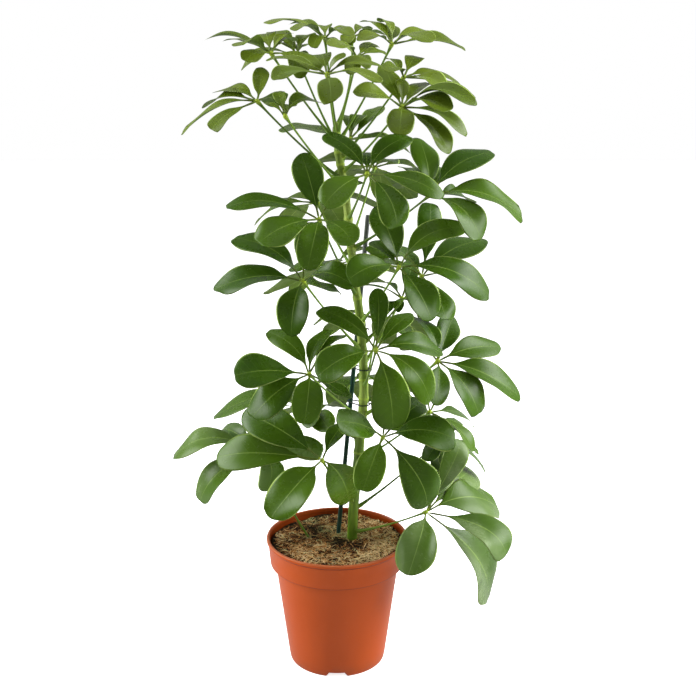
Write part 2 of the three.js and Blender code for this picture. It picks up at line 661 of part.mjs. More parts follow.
// One leaflet as a thin arched plate: a stalk, then the blade
const bladeStations = [0, bladeStart, 0.4, 0.8, 1];
const tipHalfShare = 0.2;
function leafletSolid(leaflet) {
  const half = bladeThickness / 2;
  const rings = bladeStations.map((t) => {
    const below = leaflet.normal.clone().multiplyScalar(-half);
    const above = leaflet.normal.clone().multiplyScalar(half);
    const isTip = t === 1;
    const [left, right] = [-1, 1].map((side) => (
      isTip
        ? leafletPoint(leaflet, t, 0).addScaledVector(leaflet.across, side * tipHalfShare * leaflet.width)
        : leafletPoint(leaflet, t, side)
    ));
    return [left.clone().add(above), right.clone().add(above), right.add(below), left.add(below)];
  });
  return solidOf(loft(rings, { mirrored: [false, false, true, false] }));
}

// A petiole as a tube that is thick at its foot and ends in the hub's small knob
const petioleStations = [0, 0.35, 0.7, 0.965, 1];
const petioleSides = 5;
function petioleSolid(petiole, extra = 0) {
  const points = petioleStations.map((t) => petiolePoint(petiole, t));
  const [beforeHub, hub] = points.slice(-2);
  const beyond = hub.clone().sub(beforeHub).normalize();
  points.push(hub.clone().addScaledVector(beyond, hubRadius * 0.8));
  const radii = [petioleBaseRadius, petioleRadius, petioleRadius, petioleRadius, hubRadius, hubRadius * 0.55];
  return solidOf(loft(tubeRings(points, radii.map((radius) => radius + extra), petioleSides)));
}

function leafSolid(stem, leaflets, trunkHole) {
  const pieces = [petioleSolid(stem.petiole), ...leaflets.map(leafletSolid)];
  return wasm.Manifold.union(pieces).subtract(trunkHole);
}

// The pot: a tapered body, a wider band and a lip, turned about its axis, with drain notches
const potSegments = 32;
const lipFootRadius = 83.2;
const edgeRound = 1.3;
const ledgeSlope = 0.3;
function potSolid() {
  const lipFoot = potHeight - lipHeight;
  const profile = [
    [0, 0], [potBaseRadius - edgeRound, 0], [potBaseRadius, edgeRound], [bodyTopRadius, bandBottomHeight],
    [bandBottomRadius, bandBottomHeight + edgeRound / 2], [lipFootRadius, lipFoot],
    [potTopRadius, lipFoot + edgeRound], [potTopRadius, potHeight - edgeRound],
    [potTopRadius - edgeRound, potHeight], [potTopRadius - potWall - edgeRound, potHeight],
    [lipFootRadius - potWall, lipFoot - edgeRound],
    [bandBottomRadius - potWall, bandBottomHeight + potWall + ledgeSlope],
    [bodyTopRadius - potWall, bandBottomHeight + potWall - ledgeSlope],
    [potBaseRadius - potWall, potFloor], [0, potFloor],
  ].map(([radius, height]) => new THREE.Vector2(radius, height));
  let solid = solidOf(new THREE.LatheGeometry(profile, potSegments).rotateX(Math.PI / 2));
  for (let i = 0; i < drainCount; i += 1) {
    const notch = new THREE.BoxGeometry(drainWidth, 6 * potWall, 2 * drainHeight);
    notch.translate(0, -potBaseRadius, 0);
    notch.rotateZ((2 * Math.PI * i) / drainCount);
    solid = solid.subtract(solidOf(notch));
  }
  return solid;
}

// The medium's top: low uneven mounds, and a dip at the back on the left
const dipCentre = [-38, 52];
const dipReach = [28, 24];
function soilHeightAt(x, y) {
  const mounds = Math.sin(0.09 * x + 0.7) * Math.cos(0.11 * y) + 0.6 * Math.sin(0.21 * x - 0.17 * y);
  const away = ((x - dipCentre[0]) / dipReach[0]) ** 2 + ((y - dipCentre[1]) / dipReach[1]) ** 2;
  return soilTop + soilFill + soilMound * mounds - soilDip * Math.exp(-away);
}

const soilSegments = 24;
function soilSolid(holes) {
  const gap = contactGap;
  const ledge = bandBottomHeight + potWall;
  const topRadius = bandBottomRadius - potWall - gap;
  const profile = [
    [0, potFloor + gap], [potBaseRadius - potWall - 2 * gap, potFloor + gap],
    [bodyTopRadius - potWall - 2 * gap, ledge + gap], [topRadius - gap, ledge + ledgeSlope + 2 * gap],
    ...[1, 0.8, 0.6, 0.4, 0.2, 0].map((share) => [topRadius * share, soilTop]),
  ].map(([radius, height]) => new THREE.Vector2(radius, height));
  const geometry = new THREE.LatheGeometry(profile, soilSegments).rotateX(Math.PI / 2);
  const places = geometry.attributes.position;
  for (let i = 0; i < places.count; i += 1) {
    if (places.getZ(i) > soilTop - 1) {
      places.setZ(i, soilHeightAt(places.getX(i), places.getY(i)));
    }
  }
  return solidOf(geometry).subtract(wasm.Manifold.union(holes));
}

// A wire loop round the trunk and the stake at a height: a circle's arc round each, joined straight
function tieSolid(row) {
  const height = sightPoint([centrePixel, row], 0).z;
  const trunkCentre = trunkAt(height);
  const stakeCentre = stakeAt(height);
  const between = stakeCentre.clone().sub(trunkCentre).setZ(0);
  const steps = 16;
  const sides = 4;
  const rings = Array.from({ length: steps }, (_, i) => {
    const turn = (2 * Math.PI * (i + 0.5)) / steps;
    const out = new THREE.Vector3(Math.cos(turn), Math.sin(turn), 0);
    const roundStake = out.dot(between) > 0;
    const centre = roundStake ? stakeCentre : trunkCentre;
    const held = roundStake ? stakeRadius : trunkRadiusAt(height) + scarSwell;
    const middle = centre.clone().addScaledVector(out, held + contactGap + tieWireRadius);
    return Array.from({ length: sides }, (__, j) => {
      const roll = (2 * Math.PI * j) / sides;
      return middle.clone()
        .addScaledVector(up, Math.cos(roll) * tieWireRadius)
        .addScaledVector(out, Math.sin(roll) * tieWireRadius);
    });
  });
  const start = trunkCentre.clone().add(new THREE.Vector3(trunkRadiusAt(height) + 1.2, -1.5, 0));
  const bend = start.clone().add(new THREE.Vector3(2.6, -2.4, 2));
  const end = start.clone().add(new THREE.Vector3(3.4, -3.4, -3));
  const tail = [start, bend, end];
  const tailSolid = solidOf(loft(tubeRings(tail, tail.map(() => tieTailRadius), sides)));
  return solidOf(loft(rings, { closed: true })).add(tailSolid);
}

function finish(colour, roughness) {
  return new THREE.MeshStandardMaterial({ color: colour, roughness, metalness: 0 });
}

const clay = finish(0xc7623a, 0.5);
const growingMedium = finish(0x6b4f2c, 0.95);
const bark = finish(0x6f8f2c, 0.55);
const blade = finish(0x3d5b18, 0.35);
const stakeGreen = finish(0x15352b, 0.5);
const wire = finish(0x16201c, 0.5);

function meshOf(name, solid, material) {
  const mesh = new THREE.Mesh(geometryOf(solid), material);
  mesh.name = name;
  return mesh;
}

markStem(trunkAt, trunkRadiusAt, soilTop, trunkHead.z, trunkMark);
markStem(stakeAt, () => stakeRadius, soilTop, stakeHead.z, stakeMark);
markPot();

const seenStems = seenLeaves.map((reading, i) => placeSeenPetiole(reading, i));
const hiddenStems = hiddenLeaves.map((rule, i) => placeHiddenPetiole(rule, seenLeaves.length + i));
const seenLeaflets = seenStems.map((stem, i) => placeSeenLeaflets(stem, seenLeaves[i]));
const fillers = seenStems.map((stem, i) => placeFillers(stem, seenLeaves[i], seenLeaflets[i]));
const hiddenLeaflets = hiddenStems.map((stem, i) => placeHiddenLeaflets(stem, hiddenLeaves[i]));

const trunkHole = trunkSolid(contactGap);
const stems = [...seenStems, ...hiddenStems];
const leafletSets = [...seenLeaflets.map((leaflets, i) => [...leaflets, ...fillers[i]]), ...hiddenLeaflets];
const soilHoles = [
  trunkSolid(contactGap),
  stakeSolid(contactGap),
  ...stems.filter((stem) => stem.foot.z < soilTop).map((stem) => petioleSolid(stem.petiole, contactGap)),
];

const plant = new THREE.Group();
plant.add(meshOf('pot', potSolid(), clay));
plant.add(meshOf('growing_medium', soilSolid(soilHoles), growingMedium));
plant.add(meshOf('trunk', trunkSolid(0), bark));
plant.add(meshOf('support_stake', stakeSolid(0), stakeGreen));
for (const [name, row] of Object.entries(tiePixels)) {
  plant.add(meshOf(name, tieSolid(row), wire));
}
stems.forEach((stem, i) => {
  const name = `leaf_${String(i + 1).padStart(2, '0')}`;
  plant.add(meshOf(name, leafSolid(stem, leafletSets[i], trunkHole), blade));
});

export default plant;
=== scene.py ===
import math

import bpy
import numpy as np
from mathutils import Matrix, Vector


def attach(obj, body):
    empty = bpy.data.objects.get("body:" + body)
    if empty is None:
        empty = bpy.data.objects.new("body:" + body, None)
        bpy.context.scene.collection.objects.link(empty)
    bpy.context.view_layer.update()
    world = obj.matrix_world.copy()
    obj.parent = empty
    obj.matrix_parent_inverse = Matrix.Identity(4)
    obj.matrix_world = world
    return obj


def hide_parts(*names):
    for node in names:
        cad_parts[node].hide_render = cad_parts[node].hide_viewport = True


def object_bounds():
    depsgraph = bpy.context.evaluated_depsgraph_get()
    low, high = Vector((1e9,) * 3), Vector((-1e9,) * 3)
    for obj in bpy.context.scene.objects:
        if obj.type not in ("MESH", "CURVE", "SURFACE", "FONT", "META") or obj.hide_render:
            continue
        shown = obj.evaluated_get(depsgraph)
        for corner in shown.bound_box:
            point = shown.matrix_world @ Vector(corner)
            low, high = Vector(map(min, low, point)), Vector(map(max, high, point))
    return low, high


# A potted umbrella plant in Blender: the pot, its growing medium, the green trunk tied to a
# stake, and compound leaves. Lengths are millimetres until makePiece puts them into a mesh.
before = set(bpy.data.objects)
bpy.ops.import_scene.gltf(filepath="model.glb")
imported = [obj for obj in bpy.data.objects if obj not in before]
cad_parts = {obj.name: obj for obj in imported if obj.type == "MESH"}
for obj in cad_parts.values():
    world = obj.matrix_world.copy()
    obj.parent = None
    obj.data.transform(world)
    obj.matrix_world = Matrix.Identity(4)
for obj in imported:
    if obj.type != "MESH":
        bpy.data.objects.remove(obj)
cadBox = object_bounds()
print("frame loaded with", len(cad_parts), "nodes")

up = np.array([0.0, 0.0, 1.0])
towardsEye = np.array([0.0, -1.0, 0.0])

# Where the photograph was taken from: eye in millimetres, pitch in degrees, picture in pixels
view = {
    "eye": (13.3, -1250.0, 732.0),
    "pitch": 15.2,
    "focal": 1121.0,
    "pictureWidth": 696.0,
    "filmWidth": 36.0,
    "trunkColumn": 348,
}


# The point seen at a pixel, at a depth: eye + ray * (depth - eye.y) / ray.y
def sightPoint(pixel, depth):
    pitch = math.radians(view["pitch"])
    centre = view["pictureWidth"] / 2
    ray = np.array([0.0, math.cos(pitch), -math.sin(pitch)]) * view["focal"]
    ray[0] += pixel[0] - centre
    ray += np.array([0.0, math.sin(pitch), math.cos(pitch)]) * (centre - pixel[1])
    eye = np.array(view["eye"])
    return eye + ray * (depth - eye[1]) / ray[1]


# The point seen at a pixel, at a height: eye + ray * (height - eye.z) / ray.z
def sightPointAtHeight(pixel, height):
    eye = np.array(view["eye"])
    ray = sightPoint(pixel, 0.0) - eye
    return eye + ray * (height - eye[2]) / ray[2]


# The height where a row of the picture crosses the trunk
def rowHeight(row):
    return sightPoint((view["trunkColumn"], row), 0.0)[2]


# A vector over its own length
def unit(vector):
    return vector / np.linalg.norm(vector)


# The same number from 0 to 1 for the same two keys: the fraction of
# 43758.5453 sin(12.9898 a + 78.233 b)
def draw(first, second):
    value = math.sin(first * 12.9898 + second * 78.233) * 43758.5453
    return value - math.floor(value)


# Smooth step from 0 to 1 between two values: 3 s^2 - 2 s^3
def smoothStep(low, high, value):
    share = np.clip((np.asarray(value, float) - low) / (high - low), 0, 1)
    return share * share * (3 - 2 * share)


# Evenly spaced turns round a full circle: 2 pi i / count
def turnsOf(count):
    return 2 * np.pi * np.arange(count) / count


# Points on circles about the axis: radius cos a, radius sin a, height
def roundPoints(radius, turns, height):
    x = radius * np.cos(turns)
    return np.stack([x, radius * np.sin(turns), np.broadcast_to(height, x.shape)], axis=-1)


# Rows of points joined into quads, row to row and round each row; a pole row has one point
def gridFaces(rowIndexes):
    faces = []
    for low, high in zip(rowIndexes[:-1], rowIndexes[1:]):
        count = max(len(low), len(high))
        low = np.resize(low, count)
        high = np.resize(high, count)
        quads = np.stack([low, np.roll(low, -1), np.roll(high, -1), high], axis=1)
        faces += [list(dict.fromkeys(quad)) for quad in quads.tolist()]
    return [face for face in faces if len(face) > 2]


# A tube's faces: its rings follow each other from offset on, and each end has a cap
def tubeFaces(ringCount, sides, offset=0):
    rows = [np.arange(sides) + sides * i + offset for i in range(ringCount)]
    return gridFaces(rows) + [rows[0][::-1].tolist(), rows[-1].tolist()]


# A turned form's faces: its rings follow each other, and its two poles come last
def turnedFaces(ringCount, columns):
    last = ringCount * columns
    rows = [np.arange(columns) + columns * i for i in range(ringCount)]
    return gridFaces([np.array([last])] + rows + [np.array([last + 1])])


# An object of the scene, at the origin
def linkObject(name, data):
    made = bpy.data.objects.new(name, data)
    bpy.context.collection.objects.link(made)
    return made


# A mesh object with its place in its mesh; values are numbers kept on its points
def makePiece(name, points, faces, materials, values=None, faceMaterial=None, smooth=True):
    mesh = bpy.data.meshes.new(name)
    mesh.from_pydata((np.reshape(points, (-1, 3)) * 0.001).tolist(), [], faces)
    for key, column in (values or {}).items():
        attribute = mesh.attributes.new(key, "FLOAT", "POINT")
        attribute.data.foreach_set("value", np.asarray(column, np.float32))
    for material in materials:
        mesh.materials.append(material)
    if faceMaterial is not None:
        mesh.polygons.foreach_set("material_index", np.asarray(faceMaterial, np.int32))
    mesh.polygons.foreach_set("use_smooth", np.full(len(mesh.polygons), smooth))
    mesh.update()
    piece = linkObject(name, mesh)
    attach(piece, "root")
    return piece


# Edges that stay sharp through Subdivision: both ends have the same chain number above 0
def creaseChains(piece, chains):
    mesh = piece.data
    ends = np.zeros(len(mesh.edges) * 2, np.int32)
    mesh.edges.foreach_get("vertices", ends)
    ends = np.asarray(chains)[ends.reshape(-1, 2)]
    kept = (ends[:, 0] > 0) & (ends[:, 0] == ends[:, 1])
    mesh.attributes.new("crease_edge", "FLOAT", "EDGE").data.foreach_set("value", kept.astype(np.float32))


# A smooth surface through Subdivision, at the same level in the view and the render
def subdivide(piece, levels):
    modifier = piece.modifiers.new("subdivision", "SUBSURF")
    modifier.levels = levels
    modifier.render_levels = levels


# Rings round a path: centre + radius (cos a * across + sin a * over), with across square to the eye
def tubeRings(path, radii, sides):
    radii = np.broadcast_to(np.asarray(radii, float), len(path))
    along = np.gradient(path, axis=0)
    along /= np.linalg.norm(along, axis=1, keepdims=True)
    across = np.cross(towardsEye, along)
    across /= np.linalg.norm(across, axis=1, keepdims=True)
    over = np.cross(along, across)
    turns = turnsOf(sides)[None, :, None]
    ring = np.cos(turns) * across[:, None] + np.sin(turns) * over[:, None]
    return path[:, None] + radii[:, None, None] * ring


# A colour from 0 to 255 as shown, in the linear numbers that shaders use
def shade(red, green, blue):
    shown = np.array([red, green, blue]) / 255
    linear = np.where(shown > 0.04045, ((shown + 0.055) / 1.055) ** 2.4, shown / 12.92)
    return (*linear.tolist(), 1.0)


# A node with its settings; a value that is a socket is linked, any other one is set
def addNode(tree, kind, values=None, **settings):
    node = tree.nodes.new(kind)
    for name, value in settings.items():
        setattr(node, name, value)
    for key, value in (values or {}).items():
        if isinstance(value, bpy.types.NodeSocket):
            tree.links.new(value, node.inputs[key])
        else:
            node.inputs[key].default_value = value
    return node


def maths(tree, operation, first, second=0.0, third=0.0):
    return addNode(tree, "ShaderNodeMath", {0: first, 1: second, 2: third}, operation=operation).outputs[0]


def times(tree, first, second):
    return maths(tree, "MULTIPLY", first, second)


# Two colours mixed: first + (second - first) * amount
def mixed(tree, amount, first, second):
    return addNode(tree, "ShaderNodeMix", {0: amount, 6: first, 7: second}, data_type="RGBA").outputs[2]


# A value taken from one range to another by a smooth step, held within it
def ranged(tree, value, low, high, newLow=0.0, newHigh=1.0):
    values = {"Value": value, "From Min": low, "From Max": high, "To Min": newLow, "To Max": newHigh}
    return addNode(tree, "ShaderNodeMapRange", values, interpolation_type="SMOOTHSTEP").outputs[0]


def noise(tree, place, scale, detail=3.0, roughness=0.55, distortion=0.0):
    values = {"Vector": place, "Scale": scale, "Detail": detail, "Roughness": roughness}
    return addNode(tree, "ShaderNodeTexNoise", values | {"Distortion": distortion}).outputs[0]


def attributeOf(tree, name):
    return addNode(tree, "ShaderNodeAttribute", attribute_name=name).outputs["Fac"]


# The x, y and z of a vector
def partsOf(tree, vector):
    return addNode(tree, "ShaderNodeSeparateXYZ", {"Vector": vector}).outputs


# A place whose pattern is drawn out along z: z times gain
def drawnOut(tree, place, gain):
    return addNode(tree, "ShaderNodeMapping", {"Vector": place, "Scale": (1.0, 1.0, gain)}).outputs[0]


# A material with one Principled shader; build(tree, shader, place) joins its nodes
def makeMaterial(name, build, **plain):
    material = bpy.data.materials.new(name)
    material.use_nodes = True
    tree = material.node_tree
    shader = tree.nodes["Principled BSDF"]
    for key, value in plain.items():
        shader.inputs[key].default_value = value
    place = addNode(tree, "ShaderNodeTexCoord").outputs["Object"]
    build(tree, shader, place)
    return material


# A finish's colour, and its roughness: value * gain + least
def finishInto(tree, shader, colour, value, gain, least):
    tree.links.new(colour, shader.inputs["Base Color"])
    tree.links.new(maths(tree, "MULTIPLY_ADD", value, gain, least), shader.inputs["Roughness"])


def bumpInto(tree, shader, height, strength, distance):
    values = {"Height": height, "Strength": strength, "Distance": distance}
    tree.links.new(addNode(tree, "ShaderNodeBump", values).outputs[0], shader.inputs["Normal"])


# A node group with its sockets, the sockets given to it and those that it gives out
def makeGroup(name, inputs, outputs):
    group = bpy.data.node_groups.new(name, "ShaderNodeTree")
    for label in inputs:
        kind = "NodeSocketVector" if label == "Place" else "NodeSocketFloat"
        group.interface.new_socket(label, in_out="INPUT", socket_type=kind)
    for label in outputs:
        group.interface.new_socket(label, in_out="OUTPUT", socket_type="NodeSocketFloat")
    return group, group.nodes.new("NodeGroupInput").outputs, group.nodes.new("NodeGroupOutput").inputs


def useGroup(tree, group, values):
    return addNode(tree, "ShaderNodeGroup", values, node_tree=group).outputs


# Mottling that several finishes share: a broad cloud, a fine grain, and both together
def mottleGroup():
    labels = ["Cloud", "Grain", "Both"]
    group, given, out = makeGroup("mottle", ["Place", "Cloud Scale", "Grain Scale"], labels)
    cloud = noise(group, given["Place"], given["Cloud Scale"], 3.0, 0.5, 0.4)
    grain = noise(group, given["Place"], given["Grain Scale"], 4.0, 0.6)
    both = maths(group, "ADD", times(group, cloud, 0.65), times(group, grain, 0.35))
    for label, socket in zip(labels, (cloud, grain, both)):
        group.links.new(socket, out[label])
    return group


# A blade's veins from its own across (-1 to 1) and along (0 to 1): the rib is where |across| is
# small, the side veins are where frac(count * along - slant * |across|) is near a half
def veinGroup():
    labels = ["Rib", "Side Veins", "Margin", "Height"]
    group, given, out = makeGroup("veins", ["Across", "Along", "Place"], labels)
    away = maths(group, "ABSOLUTE", given["Across"])
    taper = maths(group, "MULTIPLY_ADD", given["Along"], -0.03, 0.045)
    rib = ranged(group, away, taper, times(group, taper, 0.3))
    wobble = noise(group, given["Place"], 60.0, 2.0, 0.5)
    slanted = maths(group, "MULTIPLY_ADD", away, -1.5, times(group, given["Along"], 9.0))
    wave = maths(group, "PINGPONG", maths(group, "MULTIPLY_ADD", wobble, 0.5, slanted), 0.5)
    side = ranged(group, wave, 0.40, 0.5)
    side = times(group, side, ranged(group, away, 0.97, 0.5))
    margin = ranged(group, away, 0.925, 0.95)
    cells = addNode(group, "ShaderNodeTexVoronoi", {"Vector": given["Place"], "Scale": 420.0})
    height = maths(group, "MULTIPLY_ADD", rib, -1.0, times(group, side, -0.35))
    height = maths(group, "MULTIPLY_ADD", cells.outputs["Distance"], 0.03, height)
    for label, socket in zip(labels, (rib, side, margin, height)):
        group.links.new(socket, out[label])
    return group


mottle = mottleGroup()
veins = veinGroup()


# Mottling at a place
def mottled(tree, place, cloudScale, grainScale):
    return useGroup(tree, mottle, {"Place": place, "Cloud Scale": cloudScale, "Grain Scale": grainScale})


# The veins of the blade that a point lies on
def veinsOf(tree, place):
    values = {"Across": attributeOf(tree, "bladeAcross"), "Along": attributeOf(tree, "bladeAlong")}
    return useGroup(tree, veins, values | {"Place": place})


# Every compound leaf that the photograph shows, from the top down: its hub, how far the hub lies
# behind the trunk in millimetres, the height where its petiole leaves the trunk, its reach, how
# far its face looks up, how many leaflets it has more than show, and its leaflets' tips: across,
# down, 1 for a tip that leans away or -1 for one towards the eye, and for most the middle where
# the blade looks broadest (0, 0 where it isn't read) and how broad it looks there, in pixels
seenLeaves = [
  {"hub": [325, 38], "depth": 35, "root": 141, "reach": 80, "lift": 2.2, "more": 1,
    "tips": [[291, 24, 1, 304.5, 23.5, 6], [291, 31, -1], [326, 28, 1], [350, 27, 0.3],
      [352, 36, -1], [313, 49, -1], [335, 46, -1]]},
  {"hub": [352, 37], "depth": 60, "root": 128.5, "reach": 80, "lift": 2.2, "more": 0,
    "tips": [[334, 31, 1], [345, 44, -1], [369, 31, 1], [384, 35, 1], [350, 46, -1]]},
  {"hub": [392, 44], "depth": 30, "root": 144, "reach": 82, "lift": 2.2, "more": 0,
    "tips": [[362, 22, 1], [377, 21, 1, 0, 0, 6], [391, 24, 1, 391, 30, 16], [357, 41, -1, 372, 36, 4],
      [441, 34, 1, 418, 32.5, 6], [467, 51, 1, 440.5, 41.5, 7], [435, 42, -1, 0, 0, 5]]},
  {"hub": [271, 53], "depth": 0, "root": 143, "reach": 80, "lift": 2.2, "more": 1,
    "tips": [[205, 40, 1, 227, 35.5, 4], [224, 41, 1, 239, 39.5, 4],
      [236, 47, -1, 248, 41.5, 7], [266, 34, 1], [297, 41, 1], [292, 33, 1],
      [245, 62, -1, 253, 54.5, 11]]},
  {"hub": [297, 56], "depth": 52, "root": 147, "reach": 78, "lift": 2.2, "more": 2,
    "tips": [[270, 32, 1], [282, 44, 1], [304, 47, 1], [313, 37, 1]]},
  {"hub": [357, 57], "depth": -18, "root": 136, "reach": 76, "lift": 2.2, "more": 0,
    "tips": [[333, 40, 1], [328, 46, -1], [375, 44, 1], [387, 54, 1], [366, 69, -1],
      [350, 75, -1]]},
  {"hub": [327, 74], "depth": -75, "root": 153, "reach": 80, "lift": 2.2, "more": 0,
    "tips": [[266, 60, 1, 288, 58.8, 5], [272, 80, -1, 286, 72.7, 9], [320, 55, 1],
      [346, 54, 1], [382, 66, 1, 357, 62.3, 7], [382, 83, -1, 361, 73.5, 6],
      [331, 104, -1, 330.5, 89.6, 30]]},
  {"hub": [404, 77], "depth": -15, "root": 160, "reach": 82, "lift": 2, "more": 0,
    "tips": [[386, 59, 1], [418, 57, 1], [461, 84, 1, 437, 74.5, 6], [476, 98, 1, 451, 85.5, 6],
      [442, 89, -1, 431.8, 79.7, 9], [385, 72, -1]]},
  {"hub": [402, 107], "depth": -60, "root": 173, "reach": 84, "lift": 1.6, "more": 0,
    "tips": [[356, 96, -1, 373, 93.5, 9], [383, 64, 1, 390.4, 80.8, 17], [401, 79, 1],
      [433, 84, 1, 420.9, 87.5, 12], [477, 106, 1, 447, 91, 9],
      [451, 112, -1, 432, 101.5, 9], [468, 137, -1, 446.5, 117.8, 9],
      [450, 154, -1, 437, 133, 15], [399, 136, -1, 400.7, 119, 26]]},
  {"hub": [257, 101], "depth": -20, "root": 181, "reach": 88, "lift": 3, "more": 0,
    "tips": [[180, 135, -1, 211, 110.8, 4], [212, 131, -1, 220.8, 119.5, 11],
      [205, 108, 1, 220.8, 97.8, 6], [212, 93, 1, 232.8, 90.3, 8],
      [261, 67, 1, 261, 79.7, 14], [283, 104, 1, 273, 98.3, 11]]},
  {"hub": [285, 116], "depth": -42, "root": 191, "reach": 78, "lift": 1.6, "more": 0,
    "tips": [[264, 103, 1, 0, 0, 4], [278, 91, 1], [323, 104, 1, 304, 99, 11], [293, 107, 1]]},
  {"hub": [350, 139], "depth": 40, "root": 167, "reach": 84, "lift": 1.6, "more": 2,
    "tips": [[280, 128, 1, 303, 128.3, 8], [350, 116, 1], [364, 115, 1],
      [381, 106, 1, 373, 115, 11], [386, 134, -1, 374, 137, 5]]},
  {"hub": [367, 174], "depth": -100, "root": 219, "reach": 92, "lift": 0.75, "more": 0,
    "tips": [[324, 134, 1, 344.8, 145, 17], [411, 136, 1, 389, 145.5, 19],
      [323, 207, -1, 337.5, 190, 25], [397, 229, -1, 392.6, 205.5, 27],
      [444, 199, -1, 421, 183.5, 17], [365, 153, 1]]},
  {"hub": [430, 195], "depth": -35, "root": 249, "reach": 100, "lift": 1.6, "more": 0,
    "tips": [[419, 138, 1, 425.7, 158, 22], [494, 152, 1, 466, 159.8, 22],
      [524, 219, -1, 491.5, 197.3, 17], [481, 240, -1, 467.6, 215.3, 21],
      [470, 202, 1, 461.5, 195.5, 9], [399, 189, 1, 0, 0, 7], [402, 168, 1],
      [446, 169, 1]]},
  {"hub": [319, 219], "depth": -60, "root": 297, "reach": 100, "lift": 1.6, "more": 0,
    "tips": [[301, 153, 1, 308.5, 176, 27], [224, 208, 1, 258.3, 200.8, 14],
      [257, 244, -1, 279.3, 229.2, 26], [307, 271, -1, 313.5, 241, 29],
      [353, 245, -1, 343.8, 231, 22], [360, 181, 1]]},
  {"hub": [399, 267], "depth": -85, "root": 323, "reach": 96, "lift": 0.75, "more": 0,
    "tips": [[376, 206, 1, 387, 229, 26], [372, 241, 1, 382, 248, 14],
      [347, 281, -1, 366, 269, 26], [466, 227, 1, 434.5, 231.8, 23],
      [491, 297, -1, 459, 274.2, 24], [432, 321, -1, 421.5, 297.8, 28]]},
  {"hub": [422, 276], "depth": 28, "root": 345, "reach": 96, "lift": 1.6, "more": 2,
    "tips": [[430, 202, 1, 429.9, 222.5, 22], [487, 240, 1, 459.7, 246, 22],
      [447, 321, -1, 439.4, 302, 22], [478, 292, -1], [402, 246, 1, 408, 257, 12]]},
  {"hub": [303, 281], "depth": -50, "root": 351, "reach": 98, "lift": 1.6, "more": 0,
    "tips": [[213, 290, -1, 247, 278.5, 21], [232, 238, 1, 264.3, 245.7, 21], [314, 222, 1],
      [356, 288, -1, 333, 274.5, 18], [291, 337, -1, 293.6, 308.8, 29],
      [339, 290, 1, 322.7, 288, 8]]},
  {"hub": [402, 298], "depth": 48, "root": 365, "reach": 84, "lift": 0.75, "more": 2,
    "tips": [[370, 283, 1], [396, 312, -1], [376, 320, -1], [425, 325, -1], [412, 262, 1]]},
  {"hub": [376, 350], "depth": -103, "root": 386, "reach": 90, "lift": 0.75, "more": 0,
    "tips": [[317, 309, 1, 344.4, 319.2, 19], [377, 288, 1, 378.7, 306.5, 18],
      [413, 314, 1, 398.5, 322.7, 16], [443, 353, 1, 418.5, 344.6, 19],
      [431, 404, -1, 418.3, 375.8, 25], [393, 431, -1, 390.6, 397.7, 37],
      [316, 378, -1, 337, 362, 30]]},
  {"hub": [438, 361], "depth": -55, "root": 416, "reach": 98, "lift": 0.6, "more": 0,
    "tips": [[416, 317, 1, 429.5, 329.7, 13], [453, 316, 1, 447.3, 330.8, 22],
      [501, 347, 1, 478, 347, 22], [521, 398, -1, 492.5, 378.2, 21],
      [479, 416, -1, 468.6, 391.5, 22], [435, 406, -1, 438.3, 385, 20], [403, 351, 1]]},
  {"hub": [309, 374], "depth": -75, "root": 418, "reach": 96, "lift": 0.75, "more": 0,
    "tips": [[266, 331, 1, 288.4, 342, 19], [331, 329, 1, 317.5, 342.3, 14],
      [346, 335, 1, 332, 342.5, 9], [233, 376, -1, 257, 371.7, 28],
      [251, 419, -1, 271, 397.2, 29], [304, 426, -1, 307.8, 398.8, 31],
      [350, 399, -1, 335.4, 388.5, 10]]},
  {"hub": [316, 415], "depth": 18, "root": 438, "reach": 116, "lift": 0.75, "more": 2,
    "tips": [[211, 420, 1, 251, 399, 14], [243, 420, -1], [312, 428, -1], [345, 408, 1],
      [330, 431, -1]]},
  {"hub": [383, 437], "depth": -95, "root": 487, "reach": 96, "lift": 0.75, "more": 0,
    "tips": [[336, 422, -1, 355, 423.2, 24], [457, 440, -1, 430.3, 430.7, 29],
      [427, 507, -1, 421.9, 483.7, 36], [362, 493, -1, 370.8, 467, 32], [385, 377, 1],
      [424, 402, 1]]},
  {"hub": [430, 412], "depth": 30, "root": 461, "reach": 92, "lift": 0.75, "more": 2,
    "tips": [[474, 453, -1, 463, 434.5, 8], [479, 455, -1, 461, 435, 5], [412, 385, 1], [442, 385, 1],
      [420, 440, -1]]},
  {"hub": [322, 460], "depth": -92, "root": 502, "reach": 118, "lift": 0.5, "more": 0,
    "tips": [[243, 412, 1, 272, 425, 34], [216, 458, 1, 245.8, 453.3, 31],
      [270, 519, -1, 291.8, 491.7, 35], [350, 503, 0.8, 342.5, 480, 38], [346, 424, 1]]},
  {"hub": [440, 440], "depth": 50, "root": 510, "reach": 84, "lift": 0.75, "more": 2,
    "tips": [[425, 462, -1], [447, 470, -1], [458, 420, 1], [415, 425, 1], [466, 456, -1]]},
  {"hub": [258, 450], "depth": 8, "root": 538, "rootAcross": 322, "reach": 104, "lift": 0.75, "more": 1,
    "tips": [[172, 458, 1, 198.5, 440, 20], [222, 429, 1], [200, 503, -1, 211.4, 480.8, 23],
      [265, 492, -1, 272.3, 473.8, 28], [250, 432, 1], [321, 443, 1, 301, 442.5, 14]]},
  {"hub": [426, 512], "depth": -30, "root": 532, "reach": 128, "lift": 0.75, "more": 0,
    "tips": [[461, 440, 1, 455, 458, 22], [441, 457, 1, 443, 470, 25],
      [499, 508, 1, 475.4, 497.2, 33], [506, 556, -1, 493.6, 534.6, 28],
      [488, 601, -1, 482.1, 568.5, 29], [408, 576, -1, 418, 545.4, 37], [472, 470, 1]]},
]

